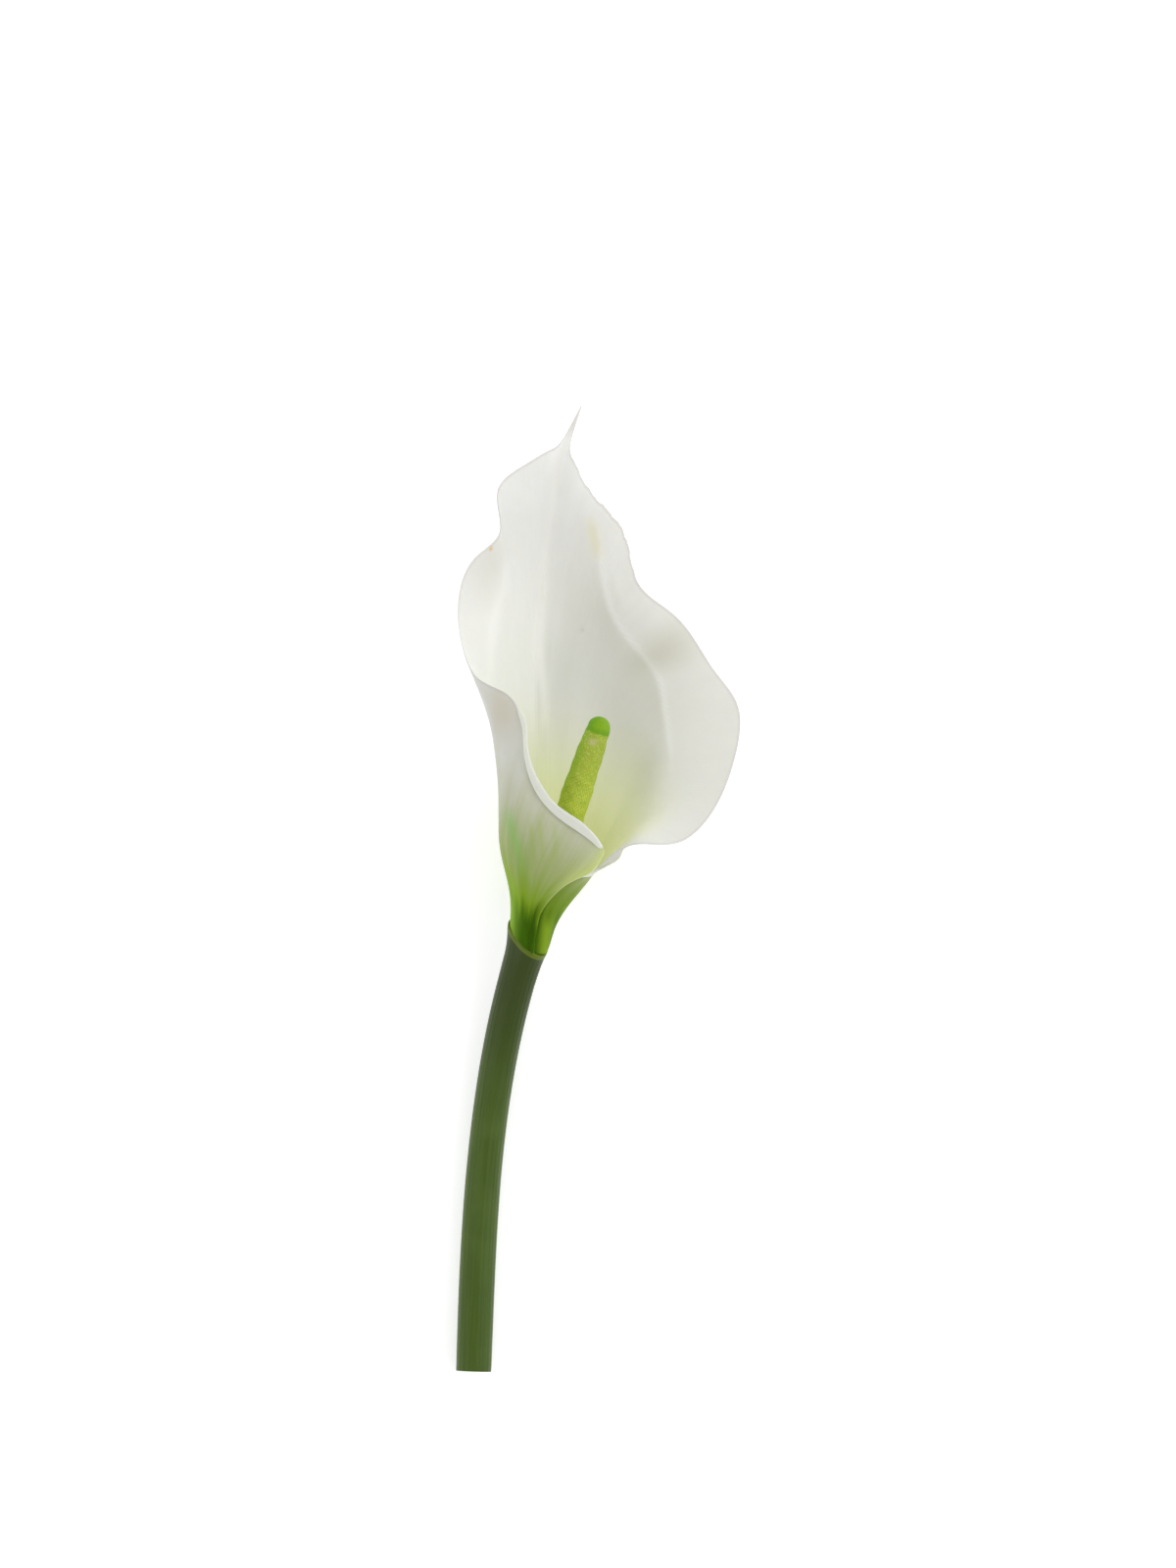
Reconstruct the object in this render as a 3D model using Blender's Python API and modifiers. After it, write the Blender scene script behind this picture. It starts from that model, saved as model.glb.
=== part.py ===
"""A cut calla lily lying on its back: a green stem, a white spathe rolled into a funnel, and its spadix.

Units in the tables are millimetres. The flower lies along +Y with its opening up, and +Z is up.
"""

import math

import bpy
import numpy as np

MM = 0.001

# Stem: a gentle curve from the cut end on the floor to the neck of the flower.
CUT_END = (-35.1, 0.0, 5.5)
NECK = (-17.9, 132.6, 14.4)
STEM_LEAN_AT_CUT = 2.0
STEM_RADII = ((0.0, 5.5), (0.3, 5.5), (0.96, 6.0), (0.985, 6.3), (1.0, 6.75))
STEM_POINTS = 24
STEM_SIDES = 24
COLLAR_START = 0.94

# Funnel: its axis leans to the right and rises from the floor.
FUNNEL_LEAN = 19.0
FUNNEL_RISE = 14.0
JOINT_GAP = 0.3
RING_HEIGHTS = (JOINT_GAP, 12.0, 25.0)
RING_RADII = (6.2, 9.0, 14.9)
RING_SHIFTS = (0.0, -1.0, -2.5)
RING_CLOSINGS = (0.6, 0.72, 0.2)
FRONT_EDGE_ANGLE, FRONT_EDGE_CLOSING = 45, 36
TUCKED_EDGE_ANGLE, TUCKED_EDGE_CLOSING = -330, 50
CLOSING_SPREAD = 35
WINDING = 1.6

# Spathe: the sheet is thinner at its rim, and the rim of the front flap is rolled outwards.
THICKNESS = 1.0
RIM_THINNESS = 0.55
HEM = 2.4
HEM_DEPTH = 0.9
HEM_TURN = 190.0
HEM_FULLNESS = 2.3
COLUMNS = 76
TIP_CROWDING, TIP_CROWD_WIDTH = 5, 0.8
WALL_ROWS = 14
HEM_ROWS = 4
RIM_THINS_FROM = 0.4

# Each station is a line up the spathe: its place, its angle round the funnel, how far its rim is rolled,
# and the points it passes above the funnel's rings. The last point is on the rim. The stations go from the
# overlapping front edge leftwards round the back to the edge tucked beneath it.
STATIONS = (
    ("front corner", 45, 0.0, ((1.4, 153.2, 32.8), (5.9, 161.3, 34.2))),
    ("front lip", 25, 0.9, ((-3.6, 158.6, 35.8), (0.6, 166.2, 36.6))),
    ("lip bend", -8, 1.0, ((-12.0, 163.0, 37.0), (-7.8, 172.0, 37.6))),
    ("flap side", -34, 1.0, ((-19.2, 169.0, 36.6), (-15.0, 180.4, 38.2))),
    ("flap top", -54, 0.9, ((-24.0, 174.0, 34.4), (-18.2, 192.0, 37.4))),
    ("shoulder", -70, 0.5, ((-26.4, 176.0, 31.0), (-24.6, 192.0, 33.8), (-19.2, 202.4, 35.0))),
    ("shoulder fall", -84, 0.0, ((-27.2, 178.0, 28.6), (-28.2, 196.0, 29.6), (-27.0, 208.6, 29.2))),
    ("left turn", -97, 0.0, ((-27.2, 180.0, 26.0), (-30.2, 199.0, 25.6), (-34.4, 212.8, 23.2))),
    ("left lobe low", -107, 0.0, ((-26.4, 182.0, 22.0), (-30.8, 204.0, 20.8), (-38.0, 220.0, 19.4))),
    ("left lobe", -117, 0.0, (
        (-24.8, 183.0, 17.2), (-28.2, 205.0, 15.8), (-30.8, 221.0, 17.2), (-39.8, 233.6, 15.8),
    )),
    ("left lobe top", -127, 0.0, (
        (-22.8, 184.0, 12.4), (-25.6, 212.0, 11.2), (-27.6, 236.0, 14.0), (-35.0, 248.6, 12.0),
    )),
    ("left notch", -136, 0.0, (
        (-20.8, 185.0, 8.8), (-22.8, 214.0, 7.0), (-24.4, 243.0, 10.0), (-27.2, 256.8, 10.8),
    )),
    ("upper lobe", -145, 0.0, (
        (-19.0, 185.0, 6.2), (-20.6, 214.0, 4.0), (-21.8, 248.0, 6.8), (-27.8, 269.6, 8.6),
    )),
    ("upper lobe top", -153, 0.0, (
        (-17.4, 185.0, 4.3), (-18.2, 214.0, 1.6), (-17.4, 250.0, 4.0), (-18.0, 278.6, 6.2),
    )),
    ("tip", -163, 0.0, (
        (-15.6, 185.0, 3.0), (-15.8, 213.0, 0.0), (-13.2, 250.0, 1.8), (-7.4, 283.2, 4.0),
    )),
    ("tip right", -168, 0.0, (
        (-14.0, 185.0, 2.4), (-13.6, 213.0, 0.2), (-10.0, 247.0, 1.3), (-3.2, 276.6, 3.8),
    )),
    ("upper right", -173, 0.0, (
        (-12.2, 185.0, 1.9), (-10.8, 212.0, 0.5), (-6.2, 243.0, 0.8), (2.4, 267.6, 4.4),
    )),
    ("right brow", -181, 0.0, (
        (-9.4, 185.0, 1.4), (-6.4, 211.0, 0.8), (1.6, 241.0, 1.6), (11.2, 256.6, 6.2),
    )),
    ("right dip", -190, 0.0, (
        (-6.0, 184.0, 1.5), (-1.8, 208.0, 0.8), (7.0, 230.4, 2.8), (15.6, 241.2, 7.2),
    )),
    ("right shoulder", -202, 0.0, (
        (-1.0, 183.0, 1.7), (5.2, 204.0, 0.7), (15.2, 221.4, 6.4), (27.4, 230.8, 9.4),
    )),
    ("right wing", -217, 0.0, (
        (5.0, 182.0, 2.8), (13.4, 198.0, 5.0), (22.6, 208.6, 10.2), (38.4, 215.0, 11.6),
    )),
    ("right corner", -232, 0.0, (
        (9.6, 179.0, 5.2), (17.6, 189.4, 9.6), (24.4, 195.6, 13.8), (46.0, 203.2, 14.8),
    )),
    ("right edge", -246, 0.0, (
        (11.6, 173.6, 8.0), (18.6, 180.4, 13.2), (25.0, 183.0, 17.2), (44.0, 185.0, 19.4),
    )),
    ("right lobe low", -259, 0.0, (
        (11.2, 168.2, 12.4), (18.2, 172.0, 18.6), (25.6, 173.0, 22.2), (37.4, 170.6, 23.4),
    )),
    ("lobe bottom", -272, 0.0, (
        (9.8, 163.4, 16.6), (15.2, 166.0, 22.8), (20.2, 165.6, 25.6), (26.6, 161.8, 26.8),
    )),
    ("mouth side", -288, 0.0, ((8.2, 158.4, 22.4), (11.4, 160.6, 27.4), (13.4, 161.4, 30.4))),
    ("mouth front", -306, 0.0, ((8.2, 156.0, 26.8), (5.8, 156.8, 31.2))),
    ("tucked edge", -330, 0.0, ((-3.0, 151.6, 31.0), (1.3, 151.9, 30.6))),
)
TIP_STATION = 14
TAIL = (4.3, 10.6, -3.0)
TAIL_WIDTH = 0.3
TAIL_START = 0.6

# Spadix: a club standing on the end of the stem inside the funnel.
SPADIX_TIP = (4.5, 200.4, 28.4)
SPADIX_BEND = (0.8, 0, 0)
SPADIX_PLACES = (0.93, 0.955, 0.975, 0.99, 1.0)
SPADIX_RADII = (
    (0.0, 3.4), (0.3, 4.5), (0.6, 4.75), (0.7, 4.6), (0.83, 4.25),
    (0.94, 3.9), (0.975, 3.1), (0.992, 1.9), (1.0, 0.5),
)
SPADIX_SIDES = 16


def clear_scene():
    for obj in list(bpy.data.objects):
        bpy.data.objects.remove(obj)


def natural_spline(knots, values, at):
    """The smooth curve through values at the knots, read at the given places."""
    knots, values, at = (np.asarray(x, float) for x in (knots, values, at))
    steps = np.diff(knots)
    count = len(knots)
    matrix = np.eye(count)
    right = np.zeros_like(values)
    for i in range(1, count - 1):
        matrix[i, i - 1 : i + 2] = steps[i - 1], 2 * (steps[i - 1] + steps[i]), steps[i]
        slope_before = (values[i] - values[i - 1]) / steps[i - 1]
        slope_after = (values[i + 1] - values[i]) / steps[i]
        right[i] = 6 * (slope_after - slope_before)
    bends = np.linalg.solve(matrix, right)
    i = np.clip(np.searchsorted(knots, at, side="right") - 1, 0, count - 2)
    step = steps[i]
    before = ((at - knots[i]) / step)[:, None]
    after = 1 - before
    square = (step**2 / 6)[:, None]
    return (
        after * values[i]
        + before * values[i + 1]
        + square * ((after**3 - after) * bends[i] + (before**3 - before) * bends[i + 1])
    )


def funnel_axes():
    """The funnel's own directions: to its side, along it, and out of its front."""
    lean, rise = math.radians(FUNNEL_LEAN), math.radians(FUNNEL_RISE)
    side = np.array((math.cos(lean), -math.sin(lean), 0.0))
    along = np.array((math.sin(lean) * math.cos(rise), math.cos(lean) * math.cos(rise), math.sin(rise)))
    return side, along, np.cross(side, along)


def ring_angle(angle, closing):
    """Low on the funnel the front edge stands nearer the middle, and the tucked edge reaches further under."""
    front_edge = math.exp(-(((angle - FRONT_EDGE_ANGLE) / CLOSING_SPREAD) ** 2))
    tucked_edge = math.exp(-(((angle - TUCKED_EDGE_ANGLE) / CLOSING_SPREAD) ** 2))
    return angle - closing * (FRONT_EDGE_CLOSING * front_edge + TUCKED_EDGE_CLOSING * tucked_edge)


def ring_point(ring, angle, share):
    """A point on a level ring of the funnel. The sheet winds inwards like a roll as the share grows."""
    side, along, front = funnel_axes()
    radius = RING_RADII[ring] + WINDING * (0.5 - share)
    turn = math.radians(ring_angle(angle, RING_CLOSINGS[ring]))
    centre = np.array(NECK) + RING_HEIGHTS[ring] * along + RING_SHIFTS[ring] * side
    return centre + radius * (math.sin(turn) * side + math.cos(turn) * front)


def climb(points, count_wall, count_hem):
    """A smooth line through the points, with even steps up to the hem and short ones in it."""
    points = np.array(points, float)
    gaps = np.linalg.norm(np.diff(points, axis=0), axis=1)
    knots = np.concatenate([[0], np.cumsum(np.sqrt(gaps))])
    fine = np.linspace(0, knots[-1], 400)
    line = natural_spline(knots, points, fine)
    lengths = np.concatenate([[0], np.cumsum(np.linalg.norm(np.diff(line, axis=0), axis=1))])
    wall = np.linspace(0, lengths[-1] - HEM, count_wall)
    hem = np.linspace(lengths[-1] - HEM, lengths[-1], count_hem + 1)[1:]
    return natural_spline(knots, points, np.interp(np.concatenate([wall, hem]), lengths, fine))


def station_knots():
    """Knots that follow the spacing of the stations along the rim."""
    rim = np.array([points[-1] for _, _, _, points in STATIONS])
    gaps = np.linalg.norm(np.diff(rim, axis=0), axis=1)
    return np.concatenate([[0], np.cumsum(np.sqrt(gaps))])


def column_places(knots, count):
    """Where the columns stand. They crowd together near the tip."""
    tip = knots[TIP_STATION]
    fine = np.linspace(knots[0], knots[-1], 2000)
    density = 1 + TIP_CROWDING * np.exp(-(((fine - tip) / TIP_CROWD_WIDTH) ** 2))
    share = np.concatenate([[0], np.cumsum((density[1:] + density[:-1]) / 2)])
    places = np.interp(np.linspace(0, share[-1], count), share, fine)
    places[np.argmin(np.abs(places - tip))] = tip
    return places


def roll_hem(surface, rolls, count_wall):
    """Turns the last rows outwards in an oval roll where the rim is rolled."""
    start = surface[count_wall - 1]
    up = start - surface[count_wall - 2]
    up /= np.linalg.norm(up, axis=1)[:, None]
    across = np.gradient(start, axis=0)
    out = np.cross(up, across)
    out /= np.linalg.norm(out, axis=1)[:, None]
    rows = surface.shape[0]
    for r in range(count_wall, rows):
        share = (r - count_wall + 1) / (rows - count_wall)
        length = HEM * (1 + HEM_FULLNESS * rolls)
        bend = np.maximum(rolls, 1e-3) * math.radians(HEM_TURN) / length
        turn = bend * length * share
        reach = (np.sin(turn) / bend)[:, None]
        rise = (HEM_DEPTH / HEM * (1 - np.cos(turn)) / bend)[:, None]
        rolled = start + reach * up + rise * out
        blend = np.clip(rolls * 4, 0, 1)[:, None]
        surface[r] = (1 - blend) * surface[r] + blend * rolled
    return surface


def spathe_surface(columns, count_wall, count_hem):
    """Points of the spathe's outer face, as an array of rows by columns by three, in millimetres."""
    last = len(STATIONS) - 1
    lines = []
    for place, (_, angle, _, points) in enumerate(STATIONS):
        rings = [ring_point(ring, angle, place / last) for ring in range(3)]
        lines.append(climb(rings + list(points), count_wall, count_hem))
    lines = np.array(lines)
    knots = station_knots()
    places = column_places(knots, columns)
    surface = np.array([natural_spline(knots, lines[:, r], places) for r in range(lines.shape[1])])
    rolls = natural_spline(knots, np.array([[roll] for _, _, roll, _ in STATIONS]), places)[:, 0]
    surface = roll_hem(surface, np.clip(rolls, 0, 1), count_wall)
    near_tip = np.exp(-np.abs(places - knots[TIP_STATION]) / TAIL_WIDTH)
    rise = np.linspace(0, 1, count_wall + count_hem)
    pull = np.clip((rise - TAIL_START) / (1 - TAIL_START), 0, 1) ** 3
    return surface + pull[:, None, None] * near_tip[None, :, None] * np.array(TAIL)


def make_object(name, mesh, material):
    obj = bpy.data.objects.new(name, mesh)
    bpy.data.collections["calla_lily"].objects.link(obj)
    mesh.materials.append(material)
    return obj


def principled(name, colour, roughness):
    material = bpy.data.materials.new(name)
    material.use_nodes = True
    shader = material.node_tree.nodes["Principled BSDF"]
    shader.inputs["Base Color"].default_value = (*colour, 1.0)
    shader.inputs["Roughness"].default_value = roughness
    shader.inputs["Metallic"].default_value = 0.0
    return material


def grid_mesh(name, points):
    """A mesh of quads over an array of rows by columns by three."""
    rows, columns = points.shape[:2]
    faces = []
    for r in range(rows - 1):
        for c in range(columns - 1):
            corner = r * columns + c
            faces.append((corner, corner + columns, corner + columns + 1, corner + 1))
    mesh = bpy.data.meshes.new(name)
    mesh.from_pydata((points.reshape(-1, 3) * MM).tolist(), [], faces)
    mesh.update()
    return mesh


def make_spathe(material):
    points = spathe_surface(COLUMNS, WALL_ROWS, HEM_ROWS)
    mesh = grid_mesh("spathe", points)
    mesh.shade_smooth()
    obj = make_object("spathe", mesh, material)
    group = obj.vertex_groups.new(name="thickness")
    rows = len(points)
    for r in range(rows):
        above = max(0.0, (r / (rows - 1) - RIM_THINS_FROM) / (1 - RIM_THINS_FROM))
        weight = 1 - (1 - RIM_THINNESS) * above
        group.add([r * COLUMNS + c for c in range(COLUMNS)], weight, "REPLACE")
    shell = obj.modifiers.new("shell", "SOLIDIFY")
    shell.thickness = THICKNESS * MM
    shell.offset = -1.0
    shell.vertex_group = "thickness"
    return obj


def stem_curve():
    """Four handles of the stem's centreline: level on the floor at the cut, along the funnel at the neck."""
    reach = np.linalg.norm(np.array(NECK) - np.array(CUT_END)) / 3
    lean = math.radians(STEM_LEAN_AT_CUT)
    start = np.array((math.sin(lean), math.cos(lean), 0.0))
    _, along, _ = funnel_axes()
    return (
        np.array(CUT_END),
        np.array(CUT_END) + start * reach,
        np.array(NECK) - along * reach,
        np.array(NECK),
    )


def bezier(handles, t):
    a, b, c, d = handles
    return (1 - t) ** 3 * a + 3 * (1 - t) ** 2 * t * b + 3 * (1 - t) * t**2 * c + t**3 * d


def make_rod(name, points, radii, material, sides):
    """A round rod along points, as a curve with a bevel and filled caps."""
    curve = bpy.data.curves.new(name, "CURVE")
    curve.dimensions = "3D"
    curve.bevel_depth = MM
    curve.bevel_resolution = sides // 4 - 1
    curve.use_fill_caps = True
    spline = curve.splines.new("POLY")
    spline.points.add(len(points) - 1)
    for place, point, radius in zip(spline.points, points, radii):
        place.co = (*(np.asarray(point) * MM), 1.0)
        place.radius = radius
    obj = bpy.data.objects.new(name, curve)
    bpy.data.collections["calla_lily"].objects.link(obj)
    curve.materials.append(material)
    return obj


def make_stem(material):
    shares, radii = zip(*STEM_RADII)
    places = np.concatenate([np.linspace(0, COLLAR_START, STEM_POINTS), shares[2:]])
    widths = np.interp(places, shares, radii)
    return make_rod("stem", [bezier(stem_curve(), t) for t in places], widths, material, STEM_SIDES)


def make_spadix(material):
    _, along, _ = funnel_axes()
    base = np.array(NECK) + along * JOINT_GAP
    tip = np.array(SPADIX_TIP)
    reach = np.linalg.norm(tip - base) / 3
    handles = (base, base + along * reach, tip - (tip - base) / 3 - np.array(SPADIX_BEND), tip)
    shares, radii = zip(*SPADIX_RADII)
    places = np.unique(np.concatenate([np.linspace(0, 0.9, 10), SPADIX_PLACES]))
    widths = np.interp(places, shares, radii)
    return make_rod("spadix", [bezier(handles, t) for t in places], widths, material, SPADIX_SIDES)


def stand_on_origin():
    """Puts the middle of the whole flower's box over the origin, and its underside at height zero."""
    bpy.context.view_layer.update()
    graph = bpy.context.evaluated_depsgraph_get()
    corners = []
    for obj in bpy.data.collections["calla_lily"].objects:
        shape = obj.evaluated_get(graph)
        mesh = shape.to_mesh()
        points = np.array([vertex.co for vertex in mesh.vertices])
        corners += [points.min(axis=0), points.max(axis=0)]
        shape.to_mesh_clear()
    low, high = np.min(corners, axis=0), np.max(corners, axis=0)
    shift = (-(low[0] + high[0]) / 2, -(low[1] + high[1]) / 2, -low[2])
    for obj in bpy.data.collections["calla_lily"].objects:
        obj.location = shift


def main():
    clear_scene()
    collection = bpy.data.collections.new("calla_lily")
    bpy.context.scene.collection.children.link(collection)
    make_stem(principled("stem_green", (0.06, 0.11, 0.03), 0.45))
    make_spathe(principled("spathe_white", (0.86, 0.87, 0.83), 0.5))
    make_spadix(principled("spadix_green", (0.33, 0.46, 0.06), 0.55))
    stand_on_origin()


main()
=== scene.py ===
"""A cut calla lily lying on its back: a white spathe rolled into a funnel round its spadix, on a green stem.

Tables are in millimetres on the workbench, where the stem's cut end is at y = 0 and the table top is z = 0.
"""

import math

import bpy
import numpy as np
from bpy.props import FloatProperty, FloatVectorProperty, IntProperty, PointerProperty
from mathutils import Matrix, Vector


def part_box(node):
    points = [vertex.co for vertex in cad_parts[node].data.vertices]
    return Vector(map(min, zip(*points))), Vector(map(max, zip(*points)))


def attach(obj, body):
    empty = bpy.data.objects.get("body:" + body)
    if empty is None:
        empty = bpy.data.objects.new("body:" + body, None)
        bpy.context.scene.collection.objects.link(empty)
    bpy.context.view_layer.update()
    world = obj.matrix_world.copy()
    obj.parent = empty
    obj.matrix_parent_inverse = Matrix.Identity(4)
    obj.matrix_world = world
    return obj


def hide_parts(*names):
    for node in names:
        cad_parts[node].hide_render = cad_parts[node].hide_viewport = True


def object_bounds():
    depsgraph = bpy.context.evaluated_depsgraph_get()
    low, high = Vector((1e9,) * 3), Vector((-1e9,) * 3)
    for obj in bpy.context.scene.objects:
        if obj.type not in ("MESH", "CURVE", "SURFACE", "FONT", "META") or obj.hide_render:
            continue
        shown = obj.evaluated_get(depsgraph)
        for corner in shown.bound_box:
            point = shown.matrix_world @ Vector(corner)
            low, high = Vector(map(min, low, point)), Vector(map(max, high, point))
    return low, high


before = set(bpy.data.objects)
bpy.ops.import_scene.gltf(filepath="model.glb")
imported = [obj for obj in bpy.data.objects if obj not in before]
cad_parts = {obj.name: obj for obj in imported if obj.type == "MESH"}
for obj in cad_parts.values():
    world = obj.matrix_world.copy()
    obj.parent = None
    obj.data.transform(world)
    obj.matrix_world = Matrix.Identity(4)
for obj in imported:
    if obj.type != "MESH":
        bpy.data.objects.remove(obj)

bl_info = {
    "name": "Calla lily flower",
    "version": (1, 0, 0),
    "blender": (4, 5, 0),
    "location": "View3D > Sidebar > Calla lily",
    "description": "Builds a cut calla lily round its packed frame",
    "category": "Object",
}

CAD_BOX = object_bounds()
MM = 0.001

# Stem: a gentle curve from the cut end on the table to the neck of the flower.
CUT_END = (-35.1, 0.0, 5.5)
NECK = (-17.9, 132.6, 14.4)
STEM_LEAN_AT_CUT = 2.0
STEM_RADII = ((0.0, 5.5), (0.3, 5.5), (0.9, 5.72), (0.95, 5.95), (0.985, 6.3), (1.0, 6.75))

# The ribs and swellings stand on a skin that lies a little inside the plain rod.
STEM_SKIN_DEPTH = 0.12
# Cut end: rings as shares of the stem's radius, and how far each sinks in towards the pith.
CUT_RINGS = (
    (0.985, -0.18), (0.955, -0.22), (0.9, 0.02), (0.75, 0.22), (0.55, 0.34), (0.35, 0.40), (0.15, 0.42),
)
CUT_INSET = 0.18
NECK_FLOOR_RINGS = (0.97, 0.8, 0.5, 0.2)

# Funnel: its axis leans to the right and rises from the table.
FUNNEL_LEAN = 19.0
FUNNEL_RISE = 14.0
JOINT_GAP = 0.3
RING_HEIGHTS = (JOINT_GAP, 12.0, 25.0)
RING_RADII = (6.2, 9.0, 14.9)
RING_SHIFTS = (0.0, -1.0, -2.5)
RING_CLOSINGS = (0.6, 0.95, 0.22)
FRONT_EDGE_ANGLE, FRONT_EDGE_CLOSING = 45, 36
TUCKED_EDGE_ANGLE, TUCKED_EDGE_CLOSING = -330, 50
CLOSING_SPREAD = 35
WINDING = 1.6

# Spathe: the last stretch of its wall is the hem, which is rolled outwards on the front flap.
HEM = 3.0
ROLL_RUN = 0.6
ROLL_RADIUS = 2.4
ROLL_FLATNESS = 0.31
ROLL_TURN = 182
ROLL_CLOSES = 0.62
CORNER_RADIUS = 2.2
ROLL_BLENDS_AT = 0.6
EDGE_FULLNESS = 0.42
# The lines up the sheet crowd together at the tip and at the front edge.
TIP_CROWDING, EDGE_CROWDING, CROWD_WIDTH = 5, 4, 0.8

# Each station is a line up the spathe: its place, its angle round the funnel, how far its rim is rolled,
# and the points it passes above the funnel's rings. The last point is on the rim. The stations go from the
# overlapping front edge leftwards round the back to the edge tucked beneath it.
STATIONS = (
    ("front corner", 45, 0.22, ((1.4, 153.2, 32.8), (5.9, 161.3, 34.2))),
    ("front lip", 25, 0.9, ((-3.6, 158.6, 35.8), (0.6, 166.2, 36.6))),
    ("lip bend", -8, 1.0, ((-12.0, 163.0, 37.0), (-7.8, 172.0, 37.6))),
    ("flap side", -34, 1.0, ((-19.2, 169.0, 36.6), (-15.0, 180.4, 38.2))),
    ("flap top", -54, 0.9, ((-24.0, 174.0, 34.4), (-18.2, 192.0, 37.4))),
    ("shoulder", -70, 0.5, ((-26.4, 176.0, 31.0), (-24.6, 192.0, 33.8), (-19.2, 202.4, 35.0))),
    ("shoulder fall", -84, 0.0, ((-27.2, 178.0, 28.6), (-28.2, 196.0, 29.6), (-27.0, 208.6, 29.2))),
    ("left turn", -97, 0.0, ((-27.2, 180.0, 26.0), (-30.2, 199.0, 25.6), (-34.4, 212.8, 23.2))),
    ("left lobe low", -107, 0.0, ((-26.4, 182.0, 22.0), (-30.8, 204.0, 20.8), (-38.0, 220.0, 19.4))),
    ("left lobe", -117, 0.0, (
        (-24.8, 183.0, 17.2), (-28.2, 205.0, 15.8), (-30.8, 221.0, 17.2), (-39.8, 233.6, 15.8),
    )),
    ("left lobe top", -127, 0.0, (
        (-22.8, 184.0, 12.4), (-25.6, 212.0, 11.2), (-27.6, 236.0, 14.0), (-35.0, 248.6, 12.0),
    )),
    ("left notch", -136, 0.0, (
        (-20.8, 185.0, 8.8), (-22.8, 214.0, 7.0), (-24.4, 243.0, 10.0), (-27.2, 256.8, 10.8),
    )),
    ("upper lobe", -145, 0.0, (
        (-19.0, 185.0, 6.2), (-20.6, 214.0, 4.0), (-21.8, 248.0, 6.8), (-27.8, 269.6, 8.6),
    )),
    ("upper lobe top", -153, 0.0, (
        (-17.4, 185.0, 4.3), (-18.2, 214.0, 1.6), (-17.4, 250.0, 4.0), (-18.0, 278.6, 6.2),
    )),
    ("tip", -163, 0.0, (
        (-15.6, 185.0, 3.0), (-15.8, 213.0, 0.0), (-13.2, 250.0, 1.8), (-7.4, 283.2, 4.0),
    )),
    ("tip right", -168, 0.0, (
        (-14.0, 185.0, 2.4), (-13.6, 213.0, 0.2), (-10.0, 247.0, 1.3), (-3.2, 276.6, 3.8),
    )),
    ("upper right", -173, 0.0, (
        (-12.2, 185.0, 1.9), (-10.8, 212.0, 0.5), (-6.2, 243.0, 0.8), (2.4, 267.6, 4.4),
    )),
    ("right brow", -181, 0.0, (
        (-9.4, 185.0, 1.4), (-6.4, 211.0, 0.8), (1.6, 241.0, 1.6), (11.2, 256.6, 6.2),
    )),
    ("right dip", -190, 0.0, (
        (-6.0, 184.0, 1.5), (-1.8, 208.0, 0.8), (7.0, 230.4, 2.8), (15.6, 241.2, 7.2),
    )),
    ("right shoulder", -202, 0.0, (
        (-1.0, 183.0, 1.7), (5.2, 204.0, 0.7), (15.2, 221.4, 6.4), (27.4, 230.8, 9.4),
    )),
    ("right wing", -217, 0.0, (
        (5.0, 182.0, 2.8), (13.4, 198.0, 5.0), (22.6, 208.6, 10.2), (38.4, 215.0, 11.6),
    )),
    ("right corner", -232, 0.0, (
        (9.6, 179.0, 5.2), (17.6, 189.4, 9.6), (24.4, 195.6, 13.8), (46.0, 203.2, 14.8),
    )),
    ("right edge", -246, 0.0, (
        (11.6, 173.6, 8.0), (18.6, 180.4, 13.2), (25.0, 183.0, 17.2), (44.0, 185.0, 19.4),
    )),
    ("right lobe low", -259, 0.0, (
        (11.2, 168.2, 12.4), (18.2, 172.0, 18.6), (25.6, 173.0, 22.2), (37.4, 170.6, 23.4),
    )),
    ("lobe bottom", -272, 0.0, (
        (9.8, 163.4, 16.6), (15.2, 166.0, 22.8), (20.2, 165.6, 25.6), (26.6, 161.8, 26.8),
    )),
    ("mouth side", -288, 0.0, ((8.2, 158.4, 22.4), (11.4, 160.6, 27.4), (13.4, 161.4, 30.4))),
    ("mouth front", -306, 0.0, ((8.2, 156.0, 26.8), (5.8, 156.8, 31.2))),
    ("tucked edge", -330, 0.0, ((-3.0, 151.6, 31.0), (1.3, 151.9, 30.6))),
)
TIP_STATION = 14
TAIL = (5.6, 13.4)
TAIL_SAG = 2.2
TAIL_WIDTH = 0.42
TAIL_FULLNESS = 1.5
TAIL_START, TAIL_POWER = 0.86, 2.2
SAG_START, SAG_WIDTH = 0.6, 1.6
# Frills on the margin right of the tip: each wave's height, its turns along the margin and where it starts.
FRILLS = ((0.2, 0.85, 0.0), (0.14, 1.9, 1.0))

# Spadix: a club standing on the end of the stem inside the funnel.
SPADIX_TIP = (4.5, 200.4, 28.4)
SPADIX_RADII = (
    (0.0, 3.4), (0.3, 4.5), (0.6, 4.75), (0.7, 4.6), (0.83, 4.25),
    (0.94, 3.9), (0.975, 3.1), (0.992, 1.9), (1.0, 0.5),
)
SPADIX_BEND = (0.8, 0, 0)
SPADIX_SKIN_DEPTH = 0.15
# Along the spadix: where the rows begin to crowd, and where the round dome of its end begins.
SPADIX_CROWDS_FROM, DOME_FROM = 0.93, 0.948

# Collar: the stem's rim climbs the funnel's left side and dips at its front and right, by these millimetres.
COLLAR_RISE, COLLAR_LEFT, COLLAR_FRONT = 0.35, 2.55, -2.15
COLLAR_FLARE = 1.3
COLLAR_REACH = 9.0
# How far the sheet's foot tucks into the collar, and how far up the sheet follows it down.
FOOT_TUCK, FOOT_REACH = 0.2, 7.0
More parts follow.
